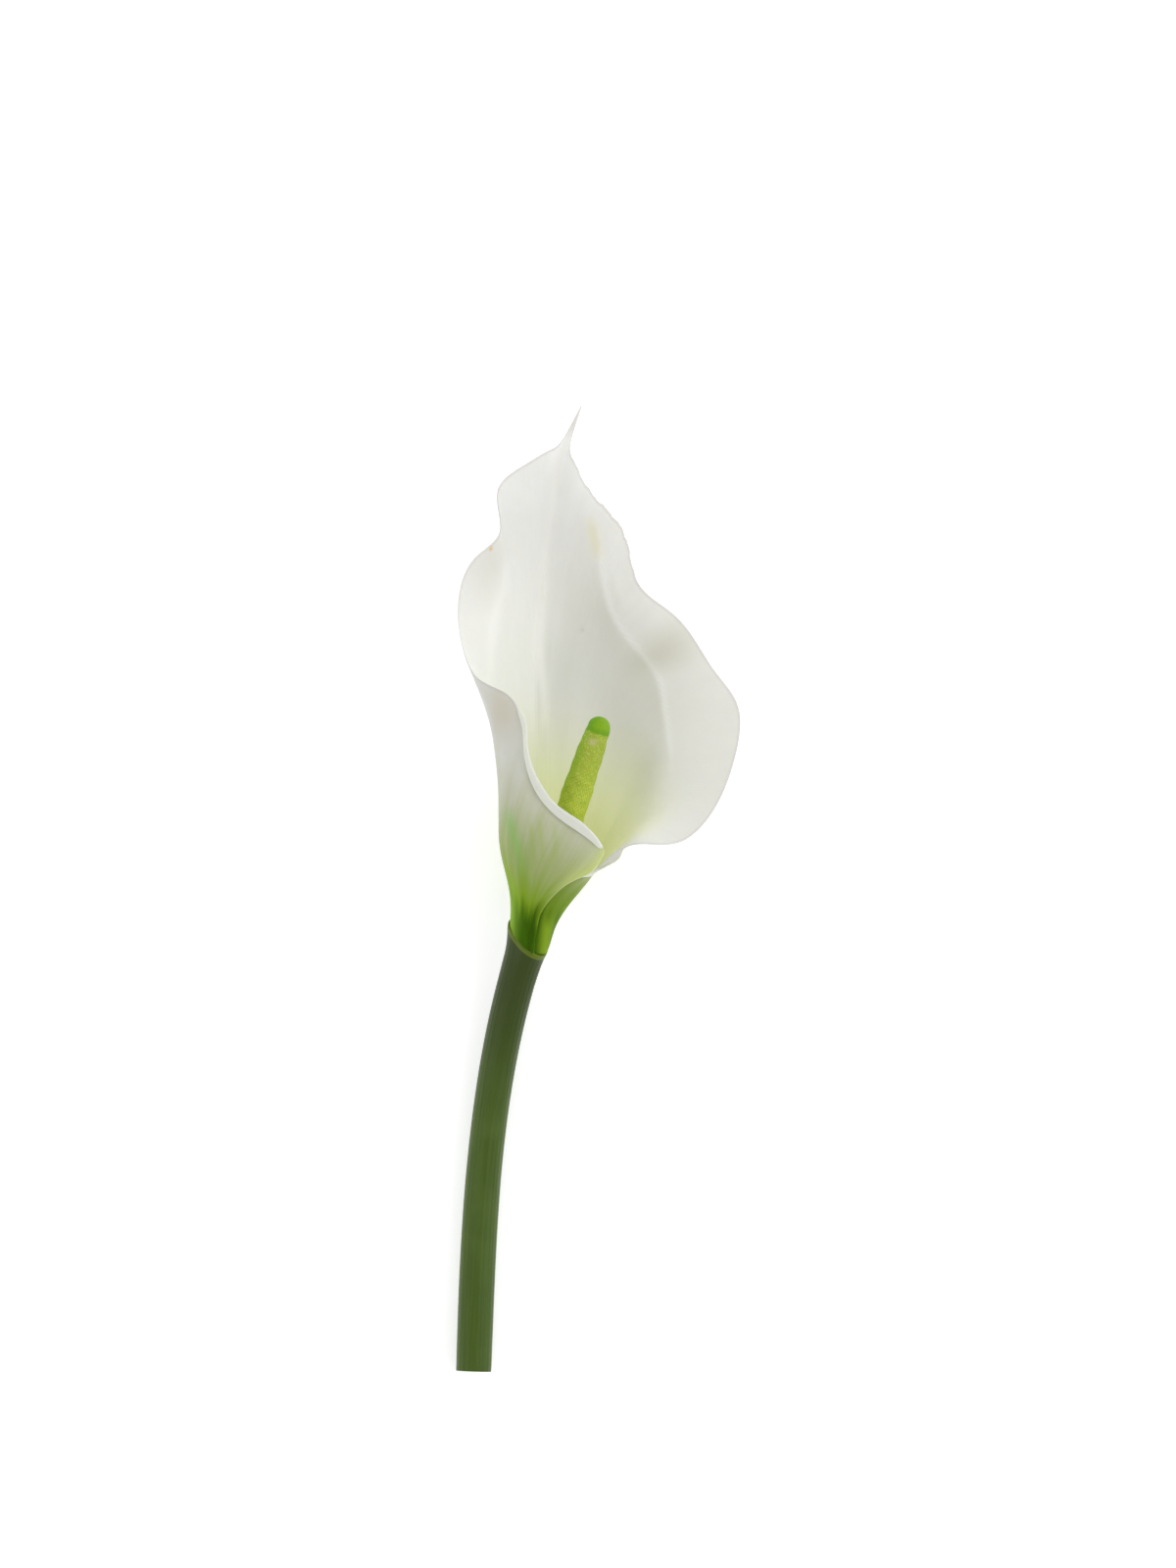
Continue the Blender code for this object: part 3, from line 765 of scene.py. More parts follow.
def build_stem(settings):
    sides, rows = settings.sides, settings.rows
    shares = np.linspace(0, 1, rows)
    line = stem_line(shares)
    knots, widths = zip(*STEM_RADII)
    radius = smoothed(np.interp(shares, knots, widths), 3)
    radius[-1] = widths[-1] - STEM_SKIN_DEPTH
    turn = ring_turns(sides)
    whole = np.linalg.norm(np.diff(line, axis=0), axis=1).sum()
    length = (shares * whole)[:, None]
    ribs = 0.035 * np.sin(turn * 23 + 0.4 * np.sin(length * 0.05)) + 0.02 * np.sin(turn * 37 + 1.3)
    swell = 0.08 * np.sin(turn * 2 + length * 0.06) + 0.056 * np.sin(turn * 3 - length * 0.041 + 1)
    calm = smooth_step(1.0, 0.95, shares)[:, None]
    radii = radius[:, None] - STEM_SKIN_DEPTH + (ribs + swell) * calm
    # The collar's rim leans: it climbs the funnel on the left and dips at the front and right.
    along, side, above = rod_frames(line)
    lift = collar_lift(np.cos(turn), np.sin(turn))
    near = smooth_step(whole - COLLAR_REACH, whole, length)
    radii = radii + near**2 * COLLAR_FLARE * np.clip(lift / COLLAR_LEFT, 0, 1)
    wall = rod_points(line, radii) + (near * lift)[..., None] * along[:, None]
    # Cut end: a sharp skin, then a face that sinks a little towards the pith.
    cut = []
    for share, sink in reversed(CUT_RINGS):
        wobble = 0.05 * np.sin(turn * 5 + share * 9) * (share < 0.95)
        ring = line[0] + (wall[0] - line[0]) * share
        cut.append(ring + along[0] * (sink + CUT_INSET + wobble)[:, None])
    # Neck end: a thin rounded lip, then a flat floor under the funnel.
    ring = np.cos(turn)[:, None] * side[-1] + np.sin(turn)[:, None] * above[-1]
    foot = np.minimum(lift, 0)[:, None] * along[-1]
    neck = [wall[-1] - ring * 0.18 + along[-1] * 0.12, wall[-1] - ring * 0.4]
    neck += [line[-1] + ((radius[-1] - 0.55) * ring + foot) * share for share in NECK_FLOOR_RINGS]
    rings = np.concatenate([cut, wall, neck])
    points, faces = closed_rod(rings, line[0] + along[0] * 0.6, line[-1] + along[-1] * 0.2)
    cuts, necks = np.ones(len(cut)), np.ones(len(neck))
    row_length = np.concatenate([cuts * 0, length[:, 0], necks * whole])
    row_cut = np.concatenate([cuts, np.zeros(rows), necks * 0])
    row_out = np.concatenate([[share for share, _ in reversed(CUT_RINGS)], np.ones(rows), necks])
    marks = {
        "along": rod_mark(row_length[:, None], sides, 0, whole),
        "cut": rod_mark(row_cut[:, None], sides, 1, 0),
        "out": rod_mark(row_out[:, None], sides, 0, 1),
    }
    sheet_map = rod_sheet(row_length, sides, STEM_RADII[0][1])
    return new_piece("calla_stem", points, faces, marks, sheet_map, stem_material(settings, whole), "stem")


def build_spadix(settings):
    sides, rows = settings.sides, settings.rows
    _, along, _ = funnel_axes()
    base = np.array(NECK) + along * (JOINT_GAP + SPADIX_SKIN_DEPTH)
    tip = np.array(SPADIX_TIP)
    reach = np.linalg.norm(tip - base)
    handles = (base, base + along * reach / 3, tip - (tip - base) / 3 - np.array(SPADIX_BEND), tip)
    body = np.linspace(0, SPADIX_CROWDS_FROM, rows)
    crowded = np.sin(np.linspace(0, math.pi / 2, rows // 6)[1:])
    shares = np.concatenate([body, SPADIX_CROWDS_FROM + (1 - SPADIX_CROWDS_FROM) * crowded])
    knots, widths = zip(*SPADIX_RADII)
    fine = np.linspace(0, 1, 600)
    plain = smoothed(np.interp(fine, knots, widths), 12)
    # The end closes as a round dome.
    closing = np.sqrt(np.clip(1 - ((fine - DOME_FROM) / (1 - DOME_FROM)) ** 2, 0, 1))
    plain = np.where(fine > DOME_FROM, np.interp(DOME_FROM, fine, plain) * closing, plain)
    radius = np.maximum(np.interp(shares, fine, plain), 0.02)[:, None]
    # Florets stand out in crossing rows, over slow swellings. A shallow ring sets off the smooth cap.
    turn = ring_turns(sides)
    length = (shares * reach)[:, None]
    to_tip = length[-1] - length
    grain = np.cos(turn * 21 + length * 5.2) + np.cos(turn * 34 - length * 4.6)
    uneven = 0.6 + 0.4 * np.sin(turn * 5 + length * 0.9) * np.sin(length * 1.7 + turn * 3)
    dots = np.clip(grain * 0.5, -0.25, 1) * uneven
    rough = 0.12 + 0.88 * smooth_step(3.2, 7.5, to_tip)
    swell = 0.098 * np.sin(length * 0.55 + turn * 2) + 0.063 * np.sin(length * 1.3 - turn * 3 + 1)
    ring = -0.10 * bump_at(to_tip, 6.4, 0.7)
    standing = settings.grain_height / MM * dots * rough + swell + ring
    radii = radius - SPADIX_SKIN_DEPTH + standing * np.clip(radius / 3.0, 0, 1)
    rings = rod_points(bezier(handles, shares), np.maximum(radii, 0.01))
    points, faces = closed_rod(rings, base, tip)
    # Painted shade: the left of the upper body is darker green.
    left_side_shade = 0.75 * smooth_step(-0.15, -0.95, np.cos(turn)) * smooth_step(40, 12, to_tip)
    # Painted highlight: a small pale patch near the cap, on the upper side.
    highlight_patch = 0.7 * bump_at(to_tip, 7.6, 1.1) * bump_at(turn, math.pi * 0.52, 0.4)
    marks = {
        "to_tip": rod_mark(to_tip, sides, to_tip[0, 0], 0),
        "grain": rod_mark(dots, sides, 0, 0),
        "left_side_shade": rod_mark(left_side_shade, sides, 0, 0),
        "highlight_patch": rod_mark(highlight_patch, sides, 0, 0),
    }
    sheet_map = rod_sheet(length[:, 0], sides, SPADIX_RADII[1][1])
    return new_piece("calla_spadix", points, faces, marks, sheet_map, spadix_material(settings), "spadix")


# ---------------------------------------------------------------- materials


def new_material(name):
    material = bpy.data.materials.new(name)
    material.use_nodes = True
    return material, material.node_tree, material.node_tree.nodes["Principled BSDF"]


def add(tree, kind, settings=None, values=None, links=None):
    """Adds a node: its settings, the values of its free sockets, and the outputs linked into its sockets."""
    node = tree.nodes.new(kind)
    for name, value in (settings or {}).items():
        setattr(node, name, value)
    for socket, value in (values or {}).items():
        node.inputs[socket].default_value = value
    for socket, output in (links or {}).items():
        tree.links.new(output, node.inputs[socket])
    return node


def paint(tree, ground, layers):
    """Lays colours over a ground. Each layer is a mask, and the colour that shows where the mask is 1."""
    mix = None
    for mask, over in layers:
        below = mix
        mix = add(tree, "ShaderNodeMix", {"data_type": "RGBA"}, {6: (*ground, 1), 7: (*over, 1)}, {0: mask})
        if below:
            tree.links.new(below.outputs[2], mix.inputs[6])
    return mix.outputs[2]


def petal_material(settings):
    """Waxy living petal, grown in one sheet: a faint gloss, fine long veins, light passing through, a
    painted glow.
    """
    material, tree, shader = new_material("waxy_white_petal")
    mark = {}
    for name in ("above_neck", "neck_painted_light", "right_neck", "from_rim", "inside", "midrib", "ridge_highlight", "shade",
                 "flap_shade", "stain", "rust", "speck", "mint", "olive", "strip", "groove_shade", "border",
                 "flap_edge_highlight", "right_side", "tail_shade", "hem_turn", "painted_glow"):
        mark[name] = add(tree, "ShaderNodeAttribute", {"attribute_name": name}).outputs["Fac"]
    sheet = add(tree, "ShaderNodeUVMap", {"uv_map": "sheet"}).outputs["UV"]
    place = add(tree, "ShaderNodeTexCoord").outputs["Object"]
    # Veins run the length of the sheet, about 1.5 mm apart, with finer ones between them.
    long_way = add(tree, "ShaderNodeMapping", None, {"Scale": (42.0, 1.6, 1.0)},
                   {"Vector": sheet}).outputs[0]
    veins = add(tree, "ShaderNodeTexNoise", None, {"Scale": 1.0, "Detail": 4.0, "Roughness": 0.6},
                {"Vector": long_way}).outputs["Fac"]
    wide_way = add(tree, "ShaderNodeMapping", None, {"Scale": (8.0, 1.2, 1.0)}, {"Vector": sheet}).outputs[0]
    streaks = add(tree, "ShaderNodeTexNoise", None, {"Scale": 1.0, "Detail": 3.0, "Roughness": 0.55},
                  {"Vector": wide_way}).outputs["Fac"]
    # Clouds about 18 mm wide, and cells under 1 mm.
    clouds = add(tree, "ShaderNodeTexNoise", None, {"Scale": 55.0, "Detail": 3.0},
                 {"Vector": place}).outputs["Fac"]
    cells = add(tree, "ShaderNodeTexNoise", None, {"Scale": 1400.0, "Detail": 2.0},
                {"Vector": place}).outputs["Fac"]

    # The white is greyer low in the sheet and clearer towards the lobes.
    clear = add(tree, "ShaderNodeMapRange", {"interpolation_type": "SMOOTHSTEP"},
                {1: 85.0, 2: 135.0, 3: 0.0, 4: 1.0}, {0: mark["above_neck"]}).outputs[0]
    # Green climbs from the neck in soft streaks, on the outside only.
    wander = add(tree, "ShaderNodeMapRange", None, {1: 0.3, 2: 0.7, 3: 4.0, 4: -4.0},
                 {0: streaks}).outputs[0]
    height = add(tree, "ShaderNodeMath", {"operation": "ADD"}, None,
                 {0: mark["above_neck"], 1: wander}).outputs[0]
    outside = add(tree, "ShaderNodeMath", {"operation": "SUBTRACT"}, {0: 1.0},
                  {1: mark["inside"]}).outputs[0]
    bands = []
    for top, foot, most in ((66.0, 28.0, 0.85), (48.0, 14.0, 0.92), (30.0, 10.0, 0.95), (17.0, 7.0, 1.0)):
        band = add(tree, "ShaderNodeMapRange", {"interpolation_type": "SMOOTHSTEP"},
                   {1: top, 2: foot, 3: 0.0, 4: most}, {0: height}).outputs[0]
        bands.append(add(tree, "ShaderNodeMath", {"operation": "MULTIPLY"}, None,
                         {0: band, 1: outside}).outputs[0])
    wash, young, fresh, deep = bands
    # The throat is yellow-green and pales upwards and towards the rim.
    throat = add(tree, "ShaderNodeMapRange", {"interpolation_type": "SMOOTHSTEP"},
                 {1: 78.0, 2: 24.0, 3: 0.0, 4: 1.0}, {0: mark["above_neck"]}).outputs[0]
    throat = add(tree, "ShaderNodeMath", {"operation": "MULTIPLY"}, None,
                 {0: throat, 1: mark["inside"]}).outputs[0]
    lip = add(tree, "ShaderNodeMapRange", {"interpolation_type": "SMOOTHSTEP"},
              {1: 3.5, 2: 13.0, 3: 0.0, 4: 1.0}, {0: mark["from_rim"]}).outputs[0]
    throat = add(tree, "ShaderNodeMath", {"operation": "MULTIPLY"}, None, {0: throat, 1: lip}).outputs[0]
    margin = add(tree, "ShaderNodeMapRange", {"interpolation_type": "SMOOTHSTEP"},
                 {1: 1.1, 2: 0.1, 3: 0.0, 4: 0.5}, {0: mark["from_rim"]}).outputs[0]
    vein_tint = add(tree, "ShaderNodeMapRange", None, {1: 0.45, 2: 0.75, 3: 0.0, 4: 0.14},
                    {0: veins}).outputs[0]
    cloud_tint = add(tree, "ShaderNodeMapRange", None, {1: 0.4, 2: 0.7, 3: 0.0, 4: 0.25},
                     {0: clouds}).outputs[0]
    strength = {}
    for name, most in (("midrib", 0.5), ("ridge_highlight", 0.3), ("shade", 0.7), ("flap_shade", 0.55), ("stain", 0.5),
                       ("mint", 0.55), ("olive", 0.35), ("border", 0.9), ("flap_edge_highlight", 0.6),
                       ("right_side", 0.4), ("strip", 0.9), ("groove_shade", 0.7), ("tail_shade", 0.6),
                       ("neck_painted_light", 0.85), ("right_neck", 0.75), ("hem_turn", 0.85)):
        strength[name] = add(tree, "ShaderNodeMath", {"operation": "MULTIPLY"}, {1: most},
                             {0: mark[name]}).outputs[0]
    # Painted light and shade: ridge highlights, flap shade, grey tail, dark groove, pale flap edge, neck
    # light.
    colour = paint(tree, settings.petal_colour, (
        (clear, linear("DBDBDA")),
        (cloud_tint, linear("C4C3BF")),
        (vein_tint, linear("C0C1BB")),
        (strength["right_side"], linear("CBC6CE")),
        (strength["midrib"], linear("EAE9E6")),
        (strength["ridge_highlight"], linear("F2F2F0")),
        (strength["shade"], linear("ADABA2")),
        (strength["flap_shade"], linear("B9B09F")),
        (strength["stain"], linear("CFC9A0")),
        (throat, settings.throat_colour),
        (margin, linear("B6B0B2")),
        (strength["hem_turn"], linear("D4D6C4")),
        (strength["tail_shade"], linear("B9B1B4")),
        (wash, linear("A5A982")),
        (strength["border"], linear("C6D184")),
        (strength["mint"], linear("84BE66")),
        (strength["olive"], linear("98AE5C")),
        (young, linear("869A3E")),
        (fresh, linear("789A0C")),
        (strength["right_neck"], linear("627E1E")),
        (deep, settings.neck_colour),
        (strength["neck_painted_light"], linear("8DB338")),
        (strength["groove_shade"], linear("2E4E00")),
        (strength["strip"], linear("82A026")),
        (strength["flap_edge_highlight"], linear("E8EAD8")),
        (mark["rust"], linear("C79B6A")),
        (mark["speck"], linear("B4B3AC")),
    ))
    tree.links.new(colour, shader.inputs["Base Color"])

    gloss = add(tree, "ShaderNodeMapRange", None, {1: 0.3, 2: 0.7, 3: 0.45, 4: 0.6}, {0: clouds}).outputs[0]
    tree.links.new(gloss, shader.inputs["Roughness"])
    fine = add(tree, "ShaderNodeBump", None, {"Strength": 0.2, "Distance": 0.0001},
               {"Height": cells}).outputs[0]
    bump = add(tree, "ShaderNodeBump", None, {"Strength": 0.35, "Distance": 0.0003},
               {"Height": veins, "Normal": fine}).outputs[0]
    tree.links.new(bump, shader.inputs["Normal"])
    # Painted glow: emission stands in for daylight through the thin wall, and is tinted in the throat.
    glow = add(tree, "ShaderNodeMath", {"operation": "MULTIPLY"}, {1: 0.2},
               {0: mark["painted_glow"]}).outputs[0]
    tree.links.new(glow, shader.inputs["Emission Strength"])
    light_colour = paint(tree, linear("E3E5DF"), ((throat, linear("E2E5B8")),))
    tree.links.new(light_colour, shader.inputs["Emission Color"])
    shader.inputs["IOR"].default_value = 1.42
    shader.inputs["Specular IOR Level"].default_value = 0.06
    shader.inputs["Subsurface Weight"].default_value = 0.55
    shader.inputs["Subsurface Radius"].default_value = (1.0, 1.0, 0.75)
    shader.inputs["Subsurface Scale"].default_value = 0.0025
    return material


def stem_material(settings, length):
    """Fleshy green stalk with a waxy skin: satin, with long fine streaks, and pale pith at the cut end."""
    material, tree, shader = new_material("waxy_green_stalk")
    mark = {}
    for name in ("along", "cut", "out"):
        mark[name] = add(tree, "ShaderNodeAttribute", {"attribute_name": name}).outputs["Fac"]
    sheet = add(tree, "ShaderNodeUVMap", {"uv_map": "sheet"}).outputs["UV"]
    place = add(tree, "ShaderNodeTexCoord").outputs["Object"]
    long_way = add(tree, "ShaderNodeMapping", None, {"Scale": (160.0, 4.0, 1.0)},
                   {"Vector": sheet}).outputs[0]
    lines = add(tree, "ShaderNodeTexNoise", None, {"Scale": 1.0, "Detail": 4.0, "Roughness": 0.6},
                {"Vector": long_way}).outputs["Fac"]
    clouds = add(tree, "ShaderNodeTexNoise", None, {"Scale": 60.0, "Detail": 3.0},
                 {"Vector": place}).outputs["Fac"]
    dark = add(tree, "ShaderNodeMapRange", None, {1: 0.4, 2: 0.7, 3: 0.0, 4: 0.6}, {0: lines}).outputs[0]
    pale = add(tree, "ShaderNodeMapRange", None, {1: 0.45, 2: 0.75, 3: 0.0, 4: 0.45}, {0: clouds}).outputs[0]
    # The upper half darkens towards the neck. The collar at its end is olive, and its paler lip is a painted
    # highlight.
    neck = add(tree, "ShaderNodeMapRange", {"interpolation_type": "SMOOTHSTEP"},
               {1: 70.0, 2: 125.0, 3: 0.0, 4: 0.95}, {0: mark["along"]}).outputs[0]
    collar = add(tree, "ShaderNodeMapRange", {"interpolation_type": "SMOOTHSTEP"},
                 {1: length - 2.0, 2: length - 1.4, 3: 0.0, 4: 0.9}, {0: mark["along"]}).outputs[0]
    lip = add(tree, "ShaderNodeMapRange", {"interpolation_type": "SMOOTHSTEP"},
              {1: length - 0.3, 2: length - 0.05, 3: 0.0, 4: 0.6}, {0: mark["along"]}).outputs[0]
    # The cut shows pores under 1 mm wide in the pith, inside a greener rind.
    pores = add(tree, "ShaderNodeTexVoronoi", None, {"Scale": 1500.0}, {"Vector": place}).outputs["Distance"]
    pith = add(tree, "ShaderNodeMapRange", None, {1: 0.2, 2: 0.6, 3: 0.0, 4: 0.6}, {0: pores}).outputs[0]
    rind = add(tree, "ShaderNodeMapRange", {"interpolation_type": "SMOOTHSTEP"},
               {1: 0.8, 2: 1.0, 3: 0.0, 4: 1.0}, {0: mark["out"]}).outputs[0]
    skin_colour = paint(tree, settings.skin_colour, (
        (dark, linear("33480C")),
        (pale, linear("566C2E")),
        (neck, linear("303E0A")),
        (collar, linear("5C6E0A")),
        (lip, linear("74821E")),
    ))
    cut_colour = paint(tree, linear("C3CE9E"), ((pith, linear("93A566")), (rind, linear("6E8840"))))
    mix = add(tree, "ShaderNodeMix", {"data_type": "RGBA"}, None,
              {0: mark["cut"], 6: skin_colour, 7: cut_colour})
    tree.links.new(mix.outputs[2], shader.inputs["Base Color"])
    gloss = add(tree, "ShaderNodeMapRange", None, {1: 0.3, 2: 0.7, 3: 0.34, 4: 0.5}, {0: clouds}).outputs[0]
    tree.links.new(gloss, shader.inputs["Roughness"])
    bump = add(tree, "ShaderNodeBump", None, {"Strength": 0.5, "Distance": 0.00025},
               {"Height": lines}).outputs[0]
    tree.links.new(bump, shader.inputs["Normal"])
    shader.inputs["IOR"].default_value = 1.45
    shader.inputs["Specular IOR Level"].default_value = 0.3
    shader.inputs["Sheen Weight"].default_value = 0.05
    shader.inputs["Sheen Roughness"].default_value = 0.4
    shader.inputs["Sheen Tint"].default_value = (*linear("DDE6C8"), 1)
    return material


def spadix_material(settings):
    """Packed tiny florets: a dry, fine-grained yellow-green surface, with a smoother green cap."""
    material, tree, shader = new_material("floret_covered_spadix")
    to_tip = add(tree, "ShaderNodeAttribute", {"attribute_name": "to_tip"}).outputs["Fac"]
    grain = add(tree, "ShaderNodeAttribute", {"attribute_name": "grain"}).outputs["Fac"]
    place = add(tree, "ShaderNodeTexCoord").outputs["Object"]
    side = add(tree, "ShaderNodeAttribute", {"attribute_name": "left_side_shade"}).outputs["Fac"]
    highlight_patch = add(tree, "ShaderNodeAttribute", {"attribute_name": "highlight_patch"}).outputs["Fac"]
    # Florets about 0.7 mm wide, in clouds of 2 mm, with dust of half a millimetre.
    florets = add(tree, "ShaderNodeTexVoronoi", None, {"Scale": 1300.0}, {"Vector": place})
    clouds = add(tree, "ShaderNodeTexNoise", None, {"Scale": 420.0, "Detail": 4.0},
                 {"Vector": place}).outputs["Fac"]
    dust = add(tree, "ShaderNodeTexNoise", None, {"Scale": 1900.0, "Detail": 2.0},
               {"Vector": place}).outputs["Fac"]
    # Painted shade: the gaps between the florets are darkened.
    gaps = add(tree, "ShaderNodeMapRange", None, {1: 0.15, 2: -0.25, 3: 0.0, 4: 0.75}, {0: grain}).outputs[0]
    mottle = add(tree, "ShaderNodeMapRange", None, {1: 0.45, 2: 0.65, 3: 0.0, 4: 0.55},
                 {0: clouds}).outputs[0]
    light = add(tree, "ShaderNodeMapRange", None, {1: 0.5, 2: 0.7, 3: 0.0, 4: 0.5}, {0: dust}).outputs[0]
    high = add(tree, "ShaderNodeMapRange", {"interpolation_type": "SMOOTHSTEP"},
               {1: 30.0, 2: 9.0, 3: 0.0, 4: 0.7}, {0: to_tip}).outputs[0]
    edge = add(tree, "ShaderNodeMath", {"operation": "ADD"}, None, {0: to_tip, 1: mottle}).outputs[0]
    cap = add(tree, "ShaderNodeMapRange", {"interpolation_type": "SMOOTHSTEP"},
              {1: 5.4, 2: 4.2, 3: 0.0, 4: 1.0}, {0: edge}).outputs[0]
    rim = add(tree, "ShaderNodeMapRange", {"interpolation_type": "SMOOTHSTEP"},
              {1: 2.6, 2: 4.8, 3: 0.0, 4: 0.85}, {0: to_tip}).outputs[0]
    rim = add(tree, "ShaderNodeMath", {"operation": "MULTIPLY"}, None, {0: rim, 1: cap}).outputs[0]
    cap_side_shade = add(tree, "ShaderNodeMath", {"operation": "MULTIPLY"}, None, {0: side, 1: cap}).outputs[0]
    # Painted shade on the left of the body and cap, and in the floret gaps; the patch is a painted
    # highlight.
    colour = paint(tree, settings.floret_colour, (
        (high, linear("8E9C36")),
        (mottle, linear("98B02C")),
        (side, linear("82B41E")),
        (gaps, linear("82A02A")),
        (light, linear("D2DA7E")),
        (highlight_patch, linear("BDB586")),
        (cap, settings.cap_colour),
        (rim, linear("5A9004")),
        (cap_side_shade, linear("5A9A06")),
    ))
    tree.links.new(colour, shader.inputs["Base Color"])
    gloss = add(tree, "ShaderNodeMapRange", None, {1: 0.0, 2: 1.0, 3: 0.66, 4: 0.45}, {0: cap}).outputs[0]
    tree.links.new(gloss, shader.inputs["Roughness"])
    bump = add(tree, "ShaderNodeBump", None, {"Strength": 0.5, "Distance": 0.0002},
               {"Height": florets.outputs["Distance"]}).outputs[0]
    tree.links.new(bump, shader.inputs["Normal"])
    shader.inputs["IOR"].default_value = 1.45
    shader.inputs["Specular IOR Level"].default_value = 0.25
    shader.inputs["Subsurface Weight"].default_value = 0.15
    # Painted glow: a faint emission in the florets' colour lightens the spadix.
    shader.inputs["Emission Color"].default_value = (*settings.floret_colour, 1)
    shader.inputs["Emission Strength"].default_value = 0.05
    shader.inputs["Subsurface Radius"].default_value = (0.8, 1.0, 0.3)
    shader.inputs["Subsurface Scale"].default_value = 0.0008
    return material


def table_material(settings):
    """Opal acrylic top of a light table: an even pale surface that glows a little and swallows shadows."""
    material, tree, shader = new_material("opal_acrylic_table")
    place = add(tree, "ShaderNodeTexCoord").outputs["Object"]
    clouds = add(tree, "ShaderNodeTexNoise", None, {"Scale": 6.0, "Detail": 3.0},
                 {"Vector": place}).outputs["Fac"]
    tint = add(tree, "ShaderNodeMapRange", None, {1: 0.3, 2: 0.7, 3: 0.0, 4: 0.3}, {0: clouds}).outputs[0]
    colour = paint(tree, settings.table_colour, ((tint, linear("FAFAFB")),))
    tree.links.new(colour, shader.inputs["Base Color"])
    gloss = add(tree, "ShaderNodeMapRange", None, {1: 0.3, 2: 0.7, 3: 0.75, 4: 0.85}, {0: clouds}).outputs[0]
    tree.links.new(gloss, shader.inputs["Roughness"])
    shader.inputs["Specular IOR Level"].default_value = 0.2
    shader.inputs["Emission Color"].default_value = (1, 1, 1, 1)
    shader.inputs["Emission Strength"].default_value = settings.table_glow
    return material


# ---------------------------------------------------------------- stage


def build_stage(settings):
    """A pale table, soft light from the right and above, and a camera looking straight down."""
    scene = bpy.context.scene
    reach = settings.table_size / 2
    mesh = bpy.data.meshes.new("table")
    corners = [(x * reach, y * reach, 0) for x, y in ((-1, -1), (1, -1), (1, 1), (-1, 1))]
    mesh.from_pydata(corners, [], [(0, 1, 2, 3)])
    mesh.materials.append(table_material(settings))
    table = bpy.data.objects.new("table", mesh)
    scene.collection.objects.link(table)

    world = bpy.data.worlds.new("studio")
    world.use_nodes = True
    background = world.node_tree.nodes["Background"]
    background.inputs["Color"].default_value = (1, 1, 1, 1)
    background.inputs["Strength"].default_value = settings.room_light
    scene.world = world
    scene.view_settings.view_transform = "Standard"

    low, high = CAD_BOX
    middle = (low + high) / 2
    for name, way, size, power in (
        ("key_softbox", Vector((0.95, 0.25, 0.9)), 0.9, settings.key_light),
        ("left_softbox", Vector((-1.1, -0.5, 0.8)), 1.0, settings.fill_light),
    ):
        data = bpy.data.lights.new(name, "AREA")
        data.shape = "DISK"
        data.size = size
        data.energy = power
        lamp = bpy.data.objects.new(name, data)
        lamp.location = middle + way
        lamp.rotation_euler = (-way).to_track_quat("-Z", "Y").to_euler()
        scene.collection.objects.link(lamp)

    camera = bpy.data.cameras.new("camera")
    camera.sensor_width = SENSOR_WIDTH
    camera.lens = camera.sensor_width * settings.camera_height / settings.view_length
    camera.clip_start, camera.clip_end = 0.1, 50.0
    stand = bpy.data.objects.new("camera", camera)
    centre = to_frame(VIEW_CENTRE)
    stand.location = (centre[0], centre[1], centre[2] + settings.camera_height)
    scene.collection.objects.link(stand)
    scene.camera = stand


# ---------------------------------------------------------------- settings, operators and panel


def colour_setting(name, description, code):
    return FloatVectorProperty(name=name, description=description, subtype="COLOR", size=3, min=0.0, max=1.0,
                               default=linear(code))


class SpatheSettings(bpy.types.PropertyGroup):
    """Sizes and colours of the spathe."""

    columns: IntProperty(name="Columns", description="Lines up the sheet", default=340, min=60)
    wall_rows: IntProperty(name="Wall rows", description="Rows of points below the hem", default=112, min=20)
    hem_rows: IntProperty(name="Hem rows", description="Rows of points in the hem", default=14, min=4)
    thickness: FloatProperty(name="Thickness", description="Thickness of the sheet near the neck",
                             default=0.9 * MM, min=0.2 * MM, unit="LENGTH", subtype="DISTANCE")
    rim_thickness: FloatProperty(name="Rim thickness", description="Thickness of the sheet at its rim",
                                 default=0.4 * MM, min=0.1 * MM, unit="LENGTH", subtype="DISTANCE")
    petal_colour: colour_setting("Petal", "Colour of the white sheet", "CBCBC8")
    throat_colour: colour_setting("Throat", "Colour deep inside the funnel", "CBD094")
    neck_colour: colour_setting("Neck", "Colour at the foot of the funnel", "3C6200")


class StemSettings(bpy.types.PropertyGroup):
    """Sizes and colours of the stem."""

    sides: IntProperty(name="Sides", description="Points round the stem", default=120, min=24)
    rows: IntProperty(name="Rows", description="Rows of points along the stem", default=260, min=40)
    skin_colour: colour_setting("Skin", "Colour of the stem's skin", "435A10")


class SpadixSettings(bpy.types.PropertyGroup):
    """Sizes and colours of the spadix."""

    sides: IntProperty(name="Sides", description="Points round the spadix", default=168, min=24)
    rows: IntProperty(name="Rows", description="Rows of points below the tip", default=320, min=40)
    grain_height: FloatProperty(name="Grain", description="How far a floret stands out", default=0.16 * MM,
                                min=0.0, unit="LENGTH", subtype="DISTANCE")
    floret_colour: colour_setting("Florets", "Colour of the florets", "BCC93E")
    cap_colour: colour_setting("Cap", "Colour of the smooth tip", "78A410")


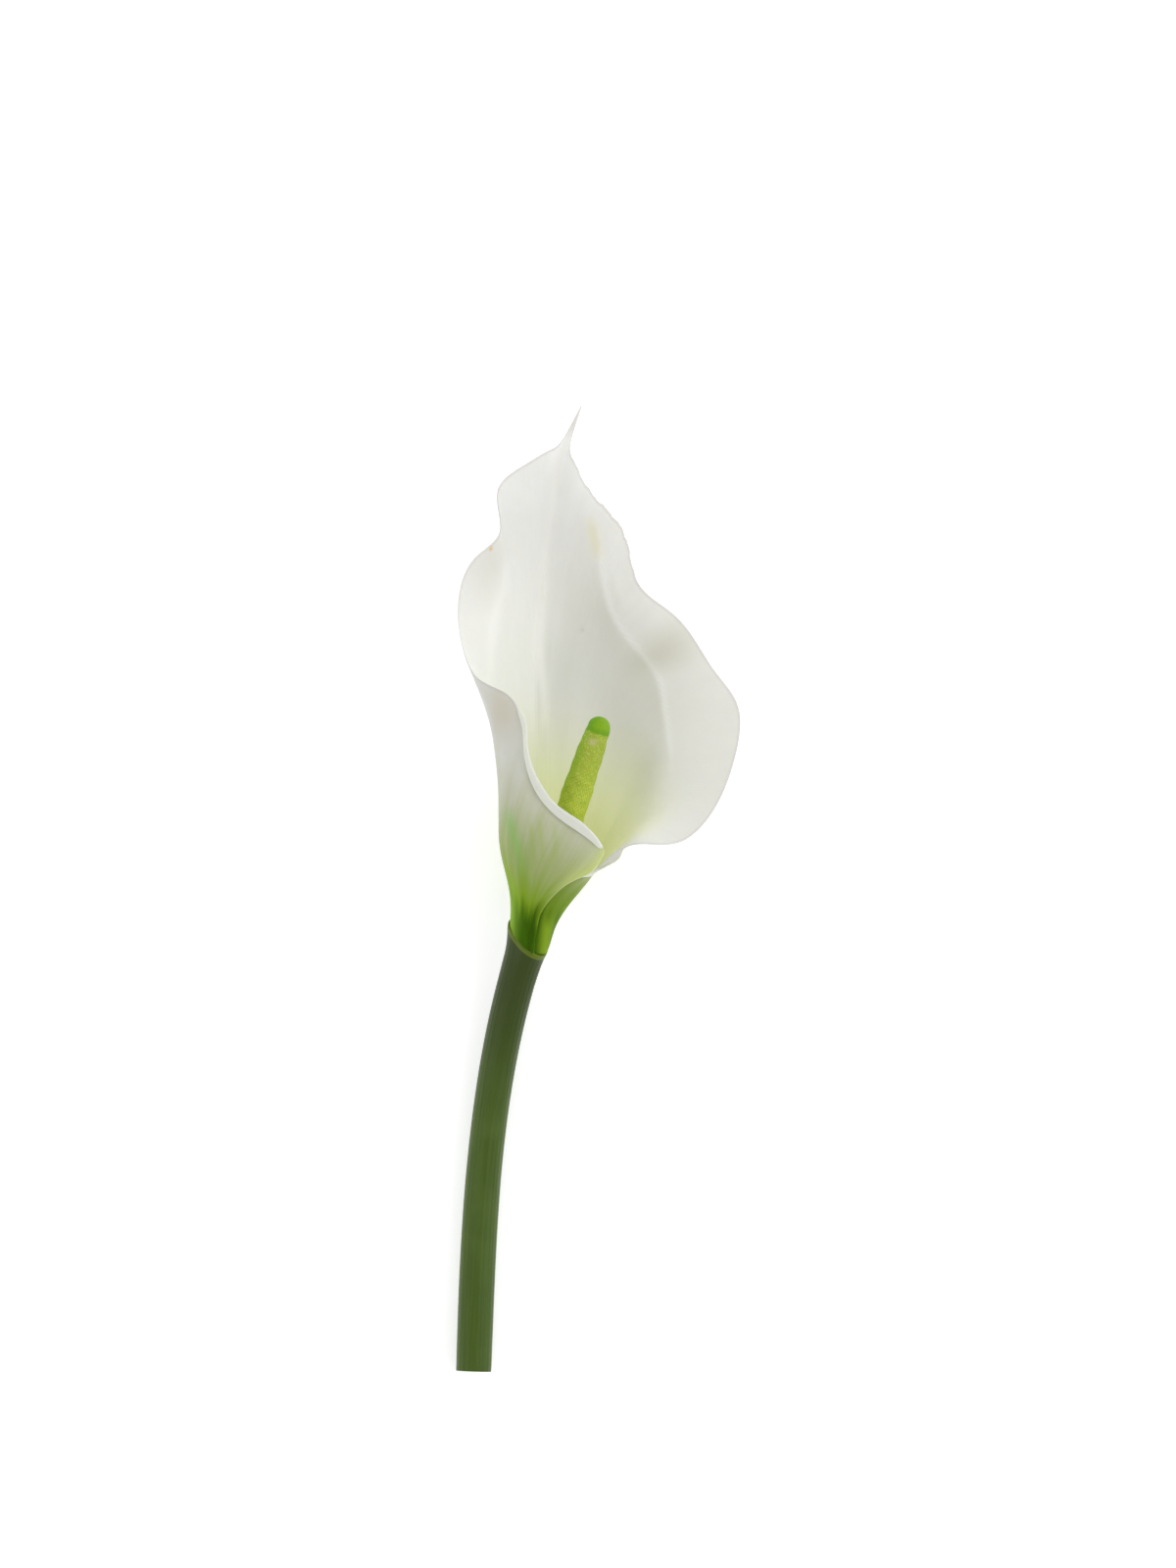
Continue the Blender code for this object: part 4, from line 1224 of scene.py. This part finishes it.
class StageSettings(bpy.types.PropertyGroup):
    """The table, the lamps and the camera."""

    table_size: FloatProperty(name="Table", description="Side of the square table top", default=6.0, min=1.0,
                              unit="LENGTH", subtype="DISTANCE")
    table_colour: colour_setting("Table top", "Colour of the table top", "F6F6F7")
    table_glow: FloatProperty(name="Table glow", description="Light that the table top gives", default=0.4,
                              min=0.0)
    room_light: FloatProperty(name="Room light", description="Strength of the even light", default=0.72,
                              min=0.0)
    key_light: FloatProperty(name="Key light", description="Power of the softbox on the right", default=5.4,
                             min=0.0, unit="POWER")
    fill_light: FloatProperty(name="Fill light", description="Power of the softbox on the left", default=3.0,
                              min=0.0, unit="POWER")
    camera_height: FloatProperty(name="Camera height", description="Height of the camera over the flower",
                                 default=6.0, min=0.5, unit="LENGTH", subtype="DISTANCE")
    view_length: FloatProperty(name="View length", description="Length of table that the camera shows",
                               default=VIEW_LENGTH * MM, min=0.1, unit="LENGTH", subtype="DISTANCE")


class FlowerSettings(bpy.types.PropertyGroup):
    """All settings of the flower."""

    spathe: PointerProperty(type=SpatheSettings)
    stem: PointerProperty(type=StemSettings)
    spadix: PointerProperty(type=SpadixSettings)
    stage: PointerProperty(type=StageSettings)


class CALLA_OT_spathe(bpy.types.Operator):
    """Build the white spathe round the funnel"""

    bl_idname = "calla.spathe"
    bl_label = "Build spathe"

    def execute(self, context):
        build_spathe(context.scene.calla_lily.spathe)
        return {"FINISHED"}


class CALLA_OT_stem(bpy.types.Operator):
    """Build the green stem with its cut end"""

    bl_idname = "calla.stem"
    bl_label = "Build stem"

    def execute(self, context):
        build_stem(context.scene.calla_lily.stem)
        return {"FINISHED"}


class CALLA_OT_spadix(bpy.types.Operator):
    """Build the spadix with its florets"""

    bl_idname = "calla.spadix"
    bl_label = "Build spadix"

    def execute(self, context):
        build_spadix(context.scene.calla_lily.spadix)
        return {"FINISHED"}


class CALLA_OT_stage(bpy.types.Operator):
    """Set the table, the lamps and the camera"""

    bl_idname = "calla.stage"
    bl_label = "Set stage"

    def execute(self, context):
        build_stage(context.scene.calla_lily.stage)
        return {"FINISHED"}


class CALLA_PT_flower(bpy.types.Panel):
    """Settings and build buttons of the flower"""

    bl_idname = "CALLA_PT_flower"
    bl_label = "Calla lily"
    bl_space_type = "VIEW_3D"
    bl_region_type = "UI"
    bl_category = "Calla lily"

    def draw(self, context):
        for group, operator in (
            (context.scene.calla_lily.spathe, "calla.spathe"),
            (context.scene.calla_lily.stem, "calla.stem"),
            (context.scene.calla_lily.spadix, "calla.spadix"),
            (context.scene.calla_lily.stage, "calla.stage"),
        ):
            box = self.layout.box()
            for name in group.bl_rna.properties.keys():
                if name not in ("rna_type", "name"):
                    box.prop(group, name)
            box.operator(operator)


CLASSES = (
    SpatheSettings,
    StemSettings,
    SpadixSettings,
    StageSettings,
    FlowerSettings,
    CALLA_OT_spathe,
    CALLA_OT_stem,
    CALLA_OT_spadix,
    CALLA_OT_stage,
    CALLA_PT_flower,
)


def register():
    for each in CLASSES:
        bpy.utils.register_class(each)
    bpy.types.Scene.calla_lily = PointerProperty(type=FlowerSettings)


def unregister():
    del bpy.types.Scene.calla_lily
    for each in reversed(CLASSES):
        bpy.utils.unregister_class(each)


def main():
    register()
    bpy.ops.calla.spathe()
    bpy.ops.calla.stem()
    bpy.ops.calla.spadix()
    bpy.ops.calla.stage()


if __name__ == "__main__":
    main()
